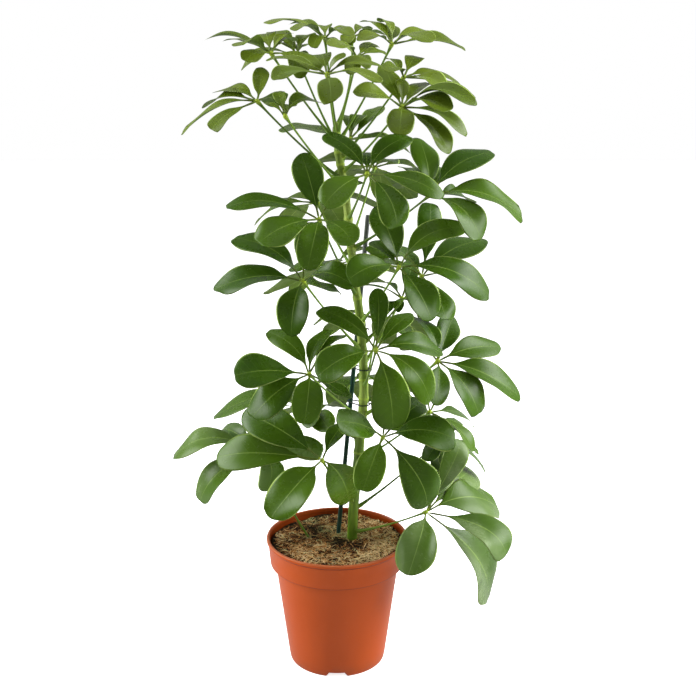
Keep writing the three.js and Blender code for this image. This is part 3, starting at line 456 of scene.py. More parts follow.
# The leaves behind the trunk that the photograph doesn't show: the height of the hub and of the
# petiole's foot, the bearing of the hub round the trunk in degrees (90 is straight back) and
# its distance from the trunk's line, in millimetres
hiddenLeaves = [
  {"height": 590, "rootHeight": 516, "bearing": 68, "away": 100, "reach": 80},
  {"height": 548, "rootHeight": 484, "bearing": 112, "away": 98, "reach": 84},
  {"height": 470, "rootHeight": 398, "bearing": 106, "away": 98, "reach": 84},
  {"height": 402, "rootHeight": 338, "bearing": 78, "away": 104, "reach": 86},
  {"height": 318, "rootHeight": 256, "bearing": 100, "away": 102, "reach": 88},
]


# The pot's sizes in millimetres, the same as the solid's
potSizes = {
    "height": 158.0,
    "topRadius": 85.0,
    "baseRadius": 58.0,
    "bandBottomHeight": 125.5,
    "bandBottomRadius": 80.8,
    "bodyTopRadius": 74.7,
    "lipHeight": 5.0,
    "lipFootRadius": 83.2,
    "wall": 2.0,
}
soilSizes = {
    "top": 149.0,
    "fill": 3.5,
    "mound": 1.1,
    "dip": 4.0,
    "dipCentre": (-38.0, 52.0),
    "dipReach": (28.0, 24.0),
    "gap": 0.3,
}
trunkSizes = {
    "line": [(352, 538), (354, 500), (360, 441), (364, 385), (360, 320),
             (354, 275), (349, 225), (344, 185), (339, 155), (336, 128)],
    "scars": [485, 452, 425, 398, 379, 352, 322, 298, 272, 248, 219, 198, 178, 164, 152, 141, 133],
    "baseRadius": 6.2,
    "topRadius": 3.9,
    "depthInSoil": 90.0,
    "scarSwell": 0.9,
    "scarReach": 3.2,
    "budHeight": 7.0,
}
stakeSizes = {"foot": (338, 537), "head": (368, 215), "setBack": 12.0, "radius": 2.7, "depthInSoil": 110.0}


# A Catmull-Rom curve of tension 0.5 through points, sampled evenly, with its ends run on straight
def smoothLine(knots, steps):
    knots = np.array(knots)
    knots = np.vstack([2 * knots[0] - knots[1], knots, 2 * knots[-1] - knots[-2]])
    place = np.arange(steps + 1) / steps * (len(knots) - 3)
    span = np.minimum(np.floor(place).astype(int), len(knots) - 4)
    s = (place - span)[:, None]
    before, here, there, beyond = (knots[span + i] for i in range(4))
    leave = 0.5 * (there - before)
    arrive = 0.5 * (beyond - here)
    cubic = 2 * here - 2 * there + leave + arrive
    square = -3 * here + 3 * there - 2 * leave - arrive
    return here + leave * s + square * s**2 + cubic * s**3


trunkSamples = smoothLine([sightPoint(pixel, 0.0) for pixel in trunkSizes["line"]], 180)
trunkHead = trunkSamples[-1]
scarHeights = np.array([rowHeight(row) for row in trunkSizes["scars"]])


# The trunk's centre at heights: straight down below its lowest sample
def trunkAt(height):
    across = np.interp(height, trunkSamples[:, 2], trunkSamples[:, 0])
    deep = np.interp(height, trunkSamples[:, 2], trunkSamples[:, 1])
    return np.stack([across, deep, np.asarray(height, float)], axis=-1)


# Its radius: thinner upwards, with a swelling exp(-(distance / reach)^2) at each leaf scar
def trunkRadiusAt(height):
    height = np.asarray(height, float)
    share = np.clip((height - soilSizes["top"]) / (trunkHead[2] - soilSizes["top"]), 0, 1)
    swell = np.exp(-(((height[..., None] - scarHeights) / trunkSizes["scarReach"]) ** 2)).sum(axis=-1)
    plain = trunkSizes["baseRadius"] + (trunkSizes["topRadius"] - trunkSizes["baseRadius"]) * share
    return plain + trunkSizes["scarSwell"] * np.minimum(swell, 1)


stakeFoot = sightPoint(stakeSizes["foot"], stakeSizes["setBack"])
stakeHead = sightPoint(stakeSizes["head"], stakeSizes["setBack"])


# The stake's centre at heights: foot + (head - foot) * the share of the height between them
def stakeAt(height):
    share = (np.asarray(height, float) - stakeFoot[2]) / (stakeHead[2] - stakeFoot[2])
    return stakeFoot + (stakeHead - stakeFoot) * share[..., None]


clearing = {
    "leaf": 7.4,
    "stalk": 4.6,
    "own": 3.5,
    "outerShare": 0.5,
    "slides": [0, -8, 8, -16, 16, -24, 24, -34, 34, -44, 44, -56, 56],
    "bows": [0.14, 0.07, 0.2],
    "bends": [(0, 0), (6, 0), (-6, 0), (0, 6), (12, 0), (-12, 0), (0, 12), (18, 0), (-18, 0)],
    "petioleShares": np.arange(2, 23) / 22,
    "leastRoom": 0.75,
    "block": 20.0,
    "trunkMark": -2,
    "stakeMark": -1,
    "potMark": -3,
    "markStep": 6.0,
    "potShares": (0, 0.33, 0.67, 1),
    "potTurns": 90,
}
leafSizes = {
    "hubRadius": 3.1,
    "baseShare": 0.4,
    "reachShare": 0.5,
    "bladeStart": 0.17,
    "petioluleHalfWidth": 1.1,
    "widestShare": 0.593,
    "breadth": 0.36,
    "breadthSpread": 0.08,
    "breadthShares": (0.7, 1.3),
    "middleShare": 0.62,
    "foldGain": 1.15,
    "mostShift": 0.3,
    "leastFacing": 0.05,
    "curl": 0.006,
    "curlSpread": 0.016,
    "outShare": 0.4,
    "lightShare": 0.3,
    "hiddenLift": 0.85,
    "droop": 0.2,
    "fillerReach": 0.85,
    "widestGap": 1.1,
    "hiddenCount": 7,
    "turnSpread": 0.5,
    "shortestShare": 0.85,
    "lengthSpread": 0.25,
    "sag": 0.03,
    "petioleDepthInSoil": 25.0,
}

# What stands already: rows of x, y, z, share, leaf, radius and 1 for a stalk
taken = [np.zeros((0, 7))]


# One row for each point, as said above
def marks(points, share, leaf, radius, stalk):
    rows = np.zeros((len(points), 7))
    rows[:, :3] = points
    for column, value in enumerate((share, leaf, radius, stalk), 3):
        rows[:, column] = value
    return rows


# Least distance between points and what stands, over the clearance wanted, at most 1
def clearanceOf(points, nearby):
    if not len(nearby):
        return 1.0
    squares = (points[:, :3] ** 2).sum(1)[:, None] + (nearby[:, :3] ** 2).sum(1)
    apart = np.sqrt(np.maximum(squares - 2 * points[:, :3] @ nearby[:, :3].T, 0))
    own = nearby[:, 4] == points[0, 4]
    bothStalks = (points[:, 6] > 0)[:, None] & (nearby[:, 6] > 0)
    wanted = np.where(own, clearing["own"], np.where(bothStalks, clearing["stalk"], clearing["leaf"]))
    inner = (points[:, 3] < clearing["outerShare"])[:, None] | (nearby[:, 3] < clearing["outerShare"])
    ratio = np.where(own & inner, np.inf, apart / (wanted + nearby[:, 5]))
    return min(1.0, ratio.min())


# The first choice whose points are clear, or else the clearest
def clearest(choices, pointsOf, centre, reach, skipped=None):
    standing = np.vstack(taken)
    near = np.linalg.norm(standing[:, :3] - centre, axis=1) < reach
    if skipped is not None:
        near &= standing[:, 4] != skipped
    nearby = standing[near]
    best = None
    bestClearance = -1.0
    for choice in choices:
        found = clearanceOf(pointsOf(choice), nearby)
        if found > bestClearance:
            best = choice
            bestClearance = found
        if found >= 1:
            break
    return best, bestClearance


# A petiole's line: foot + (hub - foot) t + bow 4 t (1 - t)
def petiolePoints(petiole, t):
    t = np.asarray(t, float)[:, None]
    return petiole["foot"] + (petiole["hub"] - petiole["foot"]) * t + petiole["bow"] * 4 * t * (1 - t)


# Half a blade's breadth: s^0.6 (1 - s^2.2)^0.55, with s = 0 where the blade starts and 1 at its tip
def halfWidthAt(leaflet, t):
    start = leafSizes["bladeStart"]
    s = np.clip((np.asarray(t, float) - start) / (1 - start), 0, 1)
    shape = s**0.6 * (1 - s**2.2) ** 0.55 / leafSizes["widestShare"]
    return np.maximum(leafSizes["petioluleHalfWidth"] * (1 - s), leaflet["width"] / 2 * shape)


# base + (tip - base) t + normal (bow b - curl half^2) + shift b + across half, with b = 4 t (1 - t)
def leafletPoints(leaflet, t, side):
    t = np.asarray(t, float)
    half = halfWidthAt(leaflet, t) * side
    bend = 4 * t * (1 - t)
    arch = leaflet["bow"] * bend - leaflet["curl"] * half**2
    line = leaflet["base"] + (leaflet["tip"] - leaflet["base"]) * t[..., None]
    line = line + leaflet["shift"] * bend[..., None]
    return line + leaflet["normal"] * arch[..., None] + leaflet["across"] * half[..., None]


sampleShares, sampleSides = np.meshgrid(
    [0.2, 0.3, 0.38, 0.46, 0.54, 0.62, 0.7, 0.78, 0.86, 0.94, 1], [-0.95, -0.5, 0, 0.5, 0.95], indexing="ij"
)


# A blade's breadth and the line across it, so that it looks as broad as it was read: shown * gain
# = width * facing, with the gain for its fold and facing the cosine of its turn about its own
# length away from the eye
def turnedAcross(along, across, tip, plainWidth, shown):
    if not shown:
        return across, plainWidth, 1
    away = tip - np.array(view["eye"])
    length = np.linalg.norm(away)
    seen = shown * leafSizes["foldGain"] * length / view["focal"]
    squareOn = unit(np.cross(along, away))
    squareOn = squareOn * (1 if squareOn @ across > 0 else -1)
    edgeOn = np.cross(along, squareOn)
    least, most = (share * plainWidth for share in leafSizes["breadthShares"])
    width = min(max(seen / max(squareOn @ across, leafSizes["leastFacing"]), least), most)
    facing = min(seen / width, 1)
    turned = math.sqrt(1 - facing**2) * (1 if edgeOn @ across > 0 else -1)
    return squareOn * facing + edgeOn * turned, width, facing


# A leaflet's line from its hub to its tip, with the side that it turns to the eye; where its
# middle is read, shift moves its line there: shift = (read - plain) / bend
def leafletTo(hub, tip, face, keys, bowShare):
    along = unit(tip - hub)
    length = np.linalg.norm(tip - hub)
    first, second, middle, shown = keys
    plain = leafSizes["breadth"] + leafSizes["breadthSpread"] * draw(first, second)
    across, width, facing = turnedAcross(along, unit(np.cross(along, face)), tip, length * plain, shown)
    base = hub + along * leafSizes["hubRadius"] * leafSizes["baseShare"]
    normal = np.cross(across, along)
    bow = length * bowShare
    share = leafSizes["middleShare"]
    bend = 4 * share * (1 - share)
    shift = np.zeros(3)
    if middle[0]:
        plainMiddle = base + (tip - base) * share + normal * bow * bend
        shift = (sightPoint(middle, plainMiddle[1]) - plainMiddle) / bend
        shift *= min(1, leafSizes["mostShift"] * length / np.linalg.norm(shift))
    return {
        "base": base,
        "tip": tip,
        "normal": normal,
        "across": across,
        "length": length,
        "width": width,
        "bow": bow,
        "shift": shift,
        "curl": facing * (leafSizes["curl"] + leafSizes["curlSpread"] * draw(second, first + 5)),
        "keys": (first, second),
    }


# A leaflet whose tip slides along a line, and whose arch changes, until it is clear
def clearLeaflet(hub, tip, slideLine, face, keys, shown):
    choices = (
        leafletTo(hub, tip + slideLine * slide, face, keys, bow)
        for slide in clearing["slides"] for bow in clearing["bows"]
    )

    def pointsOf(leaflet):
        points = leafletPoints(leaflet, sampleShares, sampleSides).reshape(-1, 3)
        return marks(points, sampleShares.ravel(), keys[0], 0, 0)

    reach = np.linalg.norm(hub - tip) / 2 + clearing["slides"][-1] + clearing["block"]
    best, clearance = clearest(choices, pointsOf, (hub + tip) / 2, reach)
    if not shown and clearance < clearing["leastRoom"]:
        return None
    taken.append(pointsOf(best))
    return best


# A petiole bowed down a little and aside until it is clear
def clearPetiole(foot, hub, leaf):
    along = unit(hub - foot)
    aside = unit(np.cross(along, up))
    length = np.linalg.norm(hub - foot)
    choices = [
        {"foot": foot, "hub": hub, "bow": aside * sideways + up * (-leafSizes["sag"] * length - down)}
        for sideways, down in clearing["bends"]
    ]

    def pointsOf(petiole):
        return marks(petiolePoints(petiole, clearing["petioleShares"]), 0, leaf, 0, 1)

    best, _ = clearest(choices, pointsOf, (foot + hub) / 2, length, clearing["trunkMark"])
    taken.append(pointsOf(best))
    return best


# What a leaflet's length lacks in the picture, it has in depth
def tipOf(reading, tip, hub):
    shown = np.linalg.norm(sightPoint(tip, reading["depth"]) - hub)
    lean = tip[2] if len(tip) > 2 else (1 if tip[1] < reading["hub"][1] else -1)
    length = max(shown + leafSizes["reachShare"] * (reading["reach"] - shown), shown)
    depth = lean * math.sqrt(max(length**2 - shown**2, 0))
    return sightPoint(tip, reading["depth"] + depth)


# A leaf faces out from the trunk, up, and a little towards the light at the front
def faceOf(hub, foot, lift, light):
    out = unit((hub - foot) * (1, 1, 0)) * leafSizes["outShare"]
    return unit(out + up * lift + towardsEye * light)


# Two directions in a leaf's face, square to each other: the first leads away from the petiole's foot
def faceAxes(stem):
    face = stem["face"]
    first = (stem["hub"] - stem["foot"]) * (1, 1, 0)
    first = unit(first - face * (first @ face))
    return first, np.cross(face, first)


# hub + length (first cos a + second sin a - droop face)
def ruleTip(stem, turn, length):
    first, second = faceAxes(stem)
    flat = first * math.cos(turn) + second * math.sin(turn)
    return stem["hub"] + flat * length - stem["face"] * leafSizes["droop"] * length


# The middles of the widest gaps between the leaflets' turns, each in its turn
def fillTurns(turns, more):
    found = []
    turns = sorted(turns)
    while len(found) < more:
        gaps = np.diff(turns + [turns[0] + 2 * math.pi])
        widest = int(np.argmax(gaps))
        if gaps[widest] < leafSizes["widestGap"]:
            break
        found.append(turns[widest] + gaps[widest] / 2)
        turns = sorted(turns + found[-1:])
    return found


# A stem's centre and radius every few millimetres, from the medium's top to its own
def markStem(pointAt, radiusAt, top, mark):
    heights = np.arange(soilSizes["top"], top + 1e-9, clearing["markStep"])
    taken.append(marks(pointAt(heights), 1, mark, radiusAt(heights), 0))


# Rings of points down the band: its radius and height run evenly from the rim's to its lower edge's
def markPot():
    for share in clearing["potShares"]:
        radius = potSizes["topRadius"] + (potSizes["bandBottomRadius"] - potSizes["topRadius"]) * share
        height = potSizes["height"] + (potSizes["bandBottomHeight"] - potSizes["height"]) * share
        points = roundPoints(radius, turnsOf(clearing["potTurns"]), height)
        taken.append(marks(points, 1, clearing["potMark"], 0, 0))


# A petiole that is clear, with the way that its leaf faces
def makeStem(foot, hub, leaf, lift, light):
    petiole = clearPetiole(foot, hub, leaf)
    return {"hub": hub, "foot": foot, "petiole": petiole, "face": faceOf(hub, foot, lift, light)}


# The hub on its pixel's ray; the foot on the trunk at its row, or in the medium where it says so
def placeSeenPetiole(reading, leaf):
    hub = sightPoint(reading["hub"], reading["depth"])
    foot = trunkAt(rowHeight(reading["root"]))
    if "rootAcross" in reading:
        foot = sightPoint((reading["rootAcross"], reading["root"]), reading["depth"])
        foot[2] = soilSizes["top"] - leafSizes["petioleDepthInSoil"]
    return makeStem(foot, hub, leaf, reading["lift"], leafSizes["lightShare"] * reading["lift"])


# hub = trunk + away (cos bearing, sin bearing), at its own height; the foot is on the trunk
def placeHiddenPetiole(rule, leaf):
    bearing = math.radians(rule["bearing"])
    hub = trunkAt(min(rule["height"], trunkHead[2]))
    hub[2] = rule["height"]
    hub += np.array([math.cos(bearing), math.sin(bearing), 0]) * rule["away"]
    return makeStem(trunkAt(rule["rootHeight"]), hub, leaf, leafSizes["hiddenLift"], 0)


# Each tip on its pixel's ray, free to slide along it
def placeSeenLeaflets(stem, reading, leaf):
    found = []
    for i, pixel in enumerate(reading["tips"]):
        tip = tipOf(reading, pixel, stem["hub"])
        sight = unit(tip - np.array(view["eye"]))
        middle = (*pixel[3:5], 0, 0)[:2]
        shown = pixel[5] if len(pixel) > 5 else 0
        found.append(clearLeaflet(stem["hub"], tip, sight, stem["face"], (leaf, i, middle, shown), True))
    return found


# Leaflets in the widest gaps of a seen leaf, free to slide along the line that its face looks
def placeFillers(stem, reading, leaf, leaflets):
    hub, face = stem["hub"], stem["face"]
    first, second = faceAxes(stem)
    turns = [math.atan2((each["tip"] - hub) @ second, (each["tip"] - hub) @ first) for each in leaflets]
    for i, turn in enumerate(fillTurns(turns, reading["more"])):
        tip = ruleTip(stem, turn, reading["reach"] * leafSizes["fillerReach"])
        leaflets.append(clearLeaflet(hub, tip, face, face, (leaf, i + 10, (0, 0), 0), False))


# turn = 2 pi (i + spread draw) / count, length = reach (shortest + spread draw)
def placeHiddenLeaflets(stem, rule, leaf):
    found = []
    count = leafSizes["hiddenCount"]
    for i in range(count):
        turn = 2 * math.pi * (i + leafSizes["turnSpread"] * draw(leaf, i + 20)) / count
        share = leafSizes["shortestShare"] + leafSizes["lengthSpread"] * draw(leaf, i + 40)
        tip = ruleTip(stem, turn, rule["reach"] * share)
        found.append(clearLeaflet(stem["hub"], tip, stem["face"], stem["face"], (leaf, i, (0, 0), 0), False))
    return found


# Stems first, then the petioles, the seen leaflets, the fillers and the hidden leaflets
def placeLeaves():
    markStem(trunkAt, trunkRadiusAt, trunkHead[2], clearing["trunkMark"])
    markStem(stakeAt, lambda height: stakeSizes["radius"], stakeHead[2], clearing["stakeMark"])
    markPot()
    seen = [placeSeenPetiole(reading, i) for i, reading in enumerate(seenLeaves)]
    hidden = [placeHiddenPetiole(rule, len(seen) + i) for i, rule in enumerate(hiddenLeaves)]
    leaflets = [placeSeenLeaflets(stem, seenLeaves[i], i) for i, stem in enumerate(seen)]
    for i, stem in enumerate(seen):
        placeFillers(stem, seenLeaves[i], i, leaflets[i])
    for i, stem in enumerate(hidden):
        leaflets.append(placeHiddenLeaflets(stem, hiddenLeaves[i], len(seen) + i))
    return [(stem, [each for each in some if each]) for stem, some in zip(seen + hidden, leaflets)]


leaves = placeLeaves()
print("leaves placed:", len(leaves), "with", sum(len(leaflets) for _, leaflets in leaves), "leaflets")

# A leaflet's own form: stations are the shares of its length at its rings, sides the places round
# a ring; each range is where one shape runs over into the next
blade = {
    "stations": np.array([0, 0.09, 0.17, 0.25, 0.36, 0.5, 0.65, 0.79, 0.91, 1.0]),
    "sides": np.array([-1, -0.55, 0, 0.55, 1, 0.55, 0, -0.55]),
    "faceSides": np.array([0, 1, 1, 1, 0, -1, -1, -1]),
    "tipRound": 0.055,
    "tipPinch": 0.16,
    "tipSlant": 0.06,
    "blunt": 0.05,
    "bluntRange": (0.6, 0.92),
    "footPinch": 0.08,
    "footRanges": ((0.5, 0.2), (0.1, 0.2)),
    "notch": 0.03,
    "unnotchedShare": 0.45,
    "thickness": 0.55,
    "stalkGain": 0.25,
    "stalkRange": (0.1, 0.25),
    "stalkEdge": 0.75,
    "ridge": 0.6,
    "foldLeast": 0.2,
    "foldSpread": 0.32,
    "foldRange": (0.12, 0.3),
    "flatShare": 0.75,
    "flatRange": (0.55, 1),
    "wave": 0.06,
    "waveTurns": 9,
    "waveRange": (0.2, 0.5),
    "belowTop": 0.2,
    "levels": 2,
    "youngHeights": (590, 685),
    # How strong each leaf's painted sheen is: a pale painted reflection over one half of its blades
    "paintedSheen": {25: 0.14, 27: 0.2, 28: 0.18, 29: 0.36},
}


# A blade as rings of eight points, closed at the tip by one chain of five: the solid's surface with
# t = v - round side^2 v^6 - notch v^40 - slant side v^8, and a breadth times 1 + blunt step(v)
# - pinch v^5 and 1 - footPinch near its foot. On its arch come a fold |half|, a wave
# width sin(9 a v + b) side |side| and a thickness either way; nothing is above the solids' top
def bladeForm(leaflet):
    first, second = leaflet["keys"]
    v, side = np.meshgrid(blade["stations"], blade["sides"], indexing="ij")
    under = np.broadcast_to(blade["faceSides"], v.shape)
    pinch = blade["tipPinch"] * draw(first + 17, second + 4)
    half = halfWidthAt(leaflet, v - blade["tipRound"] * v**6) * side
    half = half * (1 + blade["blunt"] * smoothStep(*blade["bluntRange"], v) - pinch * v**5)
    narrowing, opening = (smoothStep(*ends, v) for ends in blade["footRanges"])
    half = half * (1 - blade["footPinch"] * narrowing * opening)
    notched = blade["notch"] * (draw(first + 3, second + 9) > blade["unnotchedShare"])
    slant = blade["tipSlant"] * (draw(first + 8, second + 6) - 0.5)
    t = v - blade["tipRound"] * side**2 * v**6 - notched * (side == 0) * v**40
    t = t - slant * side * v**8
    arch = leaflet["bow"] * 4 * t * (1 - t) - leaflet["curl"] * half**2
    fold = blade["foldLeast"] + blade["foldSpread"] * draw(first + 11, second + 2)
    fold = fold * smoothStep(*blade["foldRange"], v)
    fold *= 1 - blade["flatShare"] * smoothStep(*blade["flatRange"], v)
    turns = blade["waveTurns"] * v * (0.7 + 0.6 * draw(second, first)) + 6.3 * draw(first, second + 30)
    wave = blade["wave"] * leaflet["width"] * side * np.sin(turns)
    lift = arch + fold * np.abs(half) + wave * np.abs(side) * smoothStep(*blade["waveRange"], v)
    stalk = 1 - smoothStep(*blade["stalkRange"], v)
    half = half * (1 + blade["stalkGain"] * stalk)
    stalkThick = leafSizes["petioluleHalfWidth"] * (1 + blade["stalkGain"])
    stalkThick = stalkThick * np.where(side == 0, 1, blade["stalkEdge"])
    thick = stalk * stalkThick + (1 - stalk) * blade["thickness"] / 2
    rib = np.where((under < 0) & (side == 0), blade["ridge"] * (1 - v) * (1 - stalk), 0)
    lift = lift + under * (thick + rib) * np.where(v == 1, 0, 1)
    line = leaflet["base"] + (leaflet["tip"] - leaflet["base"]) * t[..., None]
    line = line + leaflet["shift"] * (4 * t * (1 - t))[..., None]
    points = line + leaflet["normal"] * lift[..., None] + leaflet["across"] * half[..., None]
    points[..., 2] = np.minimum(points[..., 2], cadBox[1][2] * 1000 - blade["belowTop"])
    return points, v, side


bladeRings = len(blade["stations"]) - 1
bladeTip = 8 * bladeRings
bladeRows = [np.arange(8) + 8 * i for i in range(bladeRings)]
bladeRows += [bladeTip + np.array([0, 1, 2, 3, 4, 3, 2, 1])]
bladeCount = bladeTip + 5
bladeFaces = [face[::-1] for face in gridFaces(bladeRows)] + [list(range(8))]
bladeSides = [(2 if i < 16 else (0 if i % 8 < 4 else 1)) for i in range(bladeTip)] + [2]
# The margins and the tip stay thin: the chain runs up one margin, round the tip and down the other
bladeChain = np.zeros(bladeCount)
bladeChain[24:bladeTip:4] = 1
bladeChain[bladeTip:] = 1

petioleForm = {
    "stations": np.array([0, 0.05, 0.1, 0.18, 0.32, 0.48, 0.64, 0.8, 0.91, 0.955, 0.985, 1.0]),
    "radii": np.array([3.1, 2.9, 2.3, 1.7, 1.35, 1.25, 1.2, 1.2, 1.3, 1.9, 2.9, 3.0]),
    "beyond": 0.8,
    "beyondRadius": 1.5,
    "beyondShare": 1.05,
    "inTrunk": 1.2,
    "sides": 8,
}


# Added to a petiole's share of its length, so that its finish can tell it from a leaflet's stalk
stalkMark = 2.0


# A petiole: a tube along its line, thick where it clasps the trunk and ending in the hub's knob
def petioleTube(stem, start):
    t = start + (1 - start) * petioleForm["stations"]
    path = petiolePoints(stem["petiole"], t)
    beyond = path[-1] + unit(path[-1] - path[-2]) * leafSizes["hubRadius"] * petioleForm["beyond"]
    radii = np.append(petioleForm["radii"], petioleForm["beyondRadius"])
    rings = tubeRings(np.vstack([path, beyond]), radii, petioleForm["sides"])
    return rings, np.append(t, petioleForm["beyondShare"])


# A leaf's points as rows of x, y, z, side, share, tone and chain: each blade's, then the petiole's
def makeLeaf(number, stem, leaflets):
    rows, faces, kinds = [], [], []
    for i, leaflet in enumerate(leaflets):
        form, v, side = (grid.reshape(bladeTip + 8, -1)[:bladeCount] for grid in bladeForm(leaflet))
        tone = np.full(bladeCount, draw(number + 60, i + 7))
        rows.append(np.column_stack([form, side, v, tone, bladeChain * (i + 1)]))
        faces += [[index + bladeCount * i for index in face] for face in bladeFaces]
        kinds += bladeSides
    inSoil = stem["foot"][2] < soilSizes["top"]
    length = np.linalg.norm(stem["hub"] - stem["foot"])
    start = 0.0 if inSoil else (trunkRadiusAt(stem["foot"][2]) - petioleForm["inTrunk"]) / length
    rings, t = petioleTube(stem, start)
    sides = petioleForm["sides"]
    plain = np.zeros(sides * len(rings))
    tone = plain + draw(number + 60, 50)
    rows.append(np.column_stack([rings.reshape(-1, 3), plain, np.repeat(t + stalkMark, sides), tone, plain]))
    stalkFaces = tubeFaces(len(rings), sides, bladeCount * len(leaflets))
    faces += stalkFaces
    kinds += [2] * len(stalkFaces)
    rows = np.vstack(rows)
    values = {
        "bladeAcross": rows[:, 3],
        "bladeAlong": rows[:, 4],
        "bladeTone": rows[:, 5],
        "bladeYouth": np.full(len(rows), smoothStep(*blade["youngHeights"], stem["hub"][2])),
        "bladePaintedSheen": np.full(len(rows), blade["paintedSheen"].get(number, 0)),
    }
    name = f"leaf_{number:02d}"
    finishes = [bladeUpper, bladeUnder, stemSkin]
    piece = makePiece(f"{name}_blades", rows[:, :3], faces, finishes, values, kinds)
    creaseChains(piece, rows[:, 6])
    subdivide(piece, blade["levels"])
    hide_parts(name)


def buildBladeUpper(tree, shader, place):
    vein = veinsOf(tree, place)
    spots = mottled(tree, place, 22.0, 190.0)
    tone = attributeOf(tree, "bladeTone")
    young = attributeOf(tree, "bladeYouth")
    deep = mixed(tree, tone, shade(45, 75, 8), shade(68, 98, 15))
    fresh = mixed(tree, tone, shade(76, 94, 16), shade(100, 118, 30))
    colour = mixed(tree, young, deep, fresh)
    colour = mixed(tree, ranged(tree, spots["Cloud"], 0.35, 0.7, 0, 0.2), colour, shade(76, 104, 20))
    colour = mixed(tree, times(tree, vein["Side Veins"], 0.06), colour, shade(118, 150, 70))
    fading = ranged(tree, attributeOf(tree, "bladeAlong"), 0.15, 0.95, 0.85, 0.3)
    colour = mixed(tree, times(tree, vein["Rib"], fading), colour, shade(148, 176, 82))
    # The margin's own paler line, with a painted highlight along the edge
    margin = times(tree, vein["Margin"], ranged(tree, spots["Cloud"], 0.35, 0.65, 0.25, 0.9))
    colour = mixed(tree, margin, colour, shade(156, 180, 92))
    # Painted sheen: a pale painted reflection in clouds over one half of the blade, as strong as its leaf's
    # share
    sheenMask = ranged(tree, spots["Cloud"], 0.35, 0.62, 0.4, 1)
    sheenMask = times(tree, sheenMask, ranged(tree, attributeOf(tree, "bladeAcross"), -0.5, 0.5, 0.25, 1))
    colour = mixed(tree, times(tree, attributeOf(tree, "bladePaintedSheen"), sheenMask), colour, shade(150, 168, 122))
    finishInto(tree, shader, colour, spots["Both"], 0.12, 0.21)
    bumpInto(tree, shader, vein["Height"], 0.24, 0.0005)


def buildBladeUnder(tree, shader, place):
    vein = veinsOf(tree, place)
    spots = mottled(tree, place, 26.0, 240.0)
    pale = mixed(tree, attributeOf(tree, "bladeTone"), shade(70, 96, 24), shade(94, 120, 36))
    colour = mixed(tree, ranged(tree, spots["Cloud"], 0.3, 0.75, 0, 0.5), pale, shade(100, 120, 38))
    colour = mixed(tree, times(tree, vein["Side Veins"], 0.2), colour, shade(140, 162, 82))
    colour = mixed(tree, times(tree, vein["Rib"], 0.8), colour, shade(156, 180, 84))
    finishInto(tree, shader, colour, spots["Both"], 0.25, 0.42)
    bumpInto(tree, shader, times(tree, vein["Height"], -1.0), 0.5, 0.0008)


def buildStemSkin(tree, shader, place):
    along = attributeOf(tree, "bladeAlong")
    spots = mottled(tree, place, 40.0, 420.0)
    colour = mixed(tree, attributeOf(tree, "bladeTone"), shade(74, 102, 22), shade(110, 142, 42))
    colour = mixed(tree, ranged(tree, along, 1.6, 1.4, 0, 0.7), colour, shade(78, 88, 24))
    foot = times(tree, ranged(tree, along, stalkMark + 0.09, stalkMark + 0.02), ranged(tree, along, 1.4, 1.6))
    ends = maths(tree, "MAXIMUM", foot, ranged(tree, along, stalkMark + 0.95, stalkMark + 1.0))
    ends = maths(tree, "MAXIMUM", ends, ranged(tree, along, 0.03, 0.0))
    colour = mixed(tree, times(tree, ends, 0.8), colour, shade(156, 178, 42))
    colour = mixed(tree, ranged(tree, spots["Grain"], 0.5, 0.75, 0, 0.4), colour, shade(120, 150, 60))
    finishInto(tree, shader, colour, spots["Both"], 0.2, 0.3)
    bumpInto(tree, shader, spots["Grain"], 0.25, 0.0004)


bladeUpper = makeMaterial("bladeUpper", buildBladeUpper, **{"Specular IOR Level": 0.5})
bladeUnder = makeMaterial("bladeUnder", buildBladeUnder, **{"Specular IOR Level": 0.3})
stemSkin = makeMaterial("stemSkin", buildStemSkin)

for number, (stem, leaflets) in enumerate(leaves, 1):
    makeLeaf(number, stem, leaflets)
print("leaves made")

trunkForm = {
    "sides": 20,
    "step": 2.0,
    "rowsInSoil": 6,
    "soilMargins": (6, 4),
    "topHeights": (2.4, 4.8, 6.4),
    "topRadii": (3.1, 2.3, 1.5, 0.7),
    "ridges": 5,
    "ridgeDepth": 0.035,
    "unevenness": 0.25,
    "evenBelow": 2.5,
    "mostSwell": 0.3,
    "scarReach": 2.6,
}


# The trunk's radius round its line: its plain radius times 1 + depth cos(5 a + 0.02 z), uneven by
# sin(0.11 z + 2 a) sin(0.037 z + a); nearness to a scar is exp(-(distance / reach)^2)
def makeTrunk():
    form = trunkForm
    top = soilSizes["top"]
    lower, upper = form["soilMargins"]
    coarse = np.linspace(top - trunkSizes["depthInSoil"], top - lower, form["rowsInSoil"])
    heights = np.concatenate([coarse, np.arange(top - upper, trunkHead[2], form["step"]), [trunkHead[2]]])
    bud = trunkHead + up * np.array([*form["topHeights"], trunkSizes["budHeight"]])[:, None]
    path = np.vstack([trunkAt(heights), bud])
    radii = np.concatenate([trunkRadiusAt(heights), form["topRadii"]])[:, None]
    rings = tubeRings(path, 1.0, form["sides"]) - path[:, None]
    turns = turnsOf(form["sides"])
    height = path[:, 2][:, None]
    ridge = form["ridgeDepth"] * np.cos(form["ridges"] * turns + 0.02 * height)
    uneven = form["unevenness"] * np.sin(0.11 * height + 2 * turns) * np.sin(0.037 * height + turns)
    radius = radii * (1 + ridge) + uneven * (radii > form["evenBelow"])
    near = np.exp(-(((height - scarHeights) / form["scarReach"]) ** 2)).max(axis=1)
    points = path[:, None] + rings * np.minimum(radius, radii + form["mostSwell"])[..., None]
    faces = tubeFaces(len(path), form["sides"])
    values = {"scarNearness": np.repeat(near, form["sides"])}
    piece = makePiece("trunk_stem", points, faces, [trunkSkin], values)
    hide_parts("trunk")


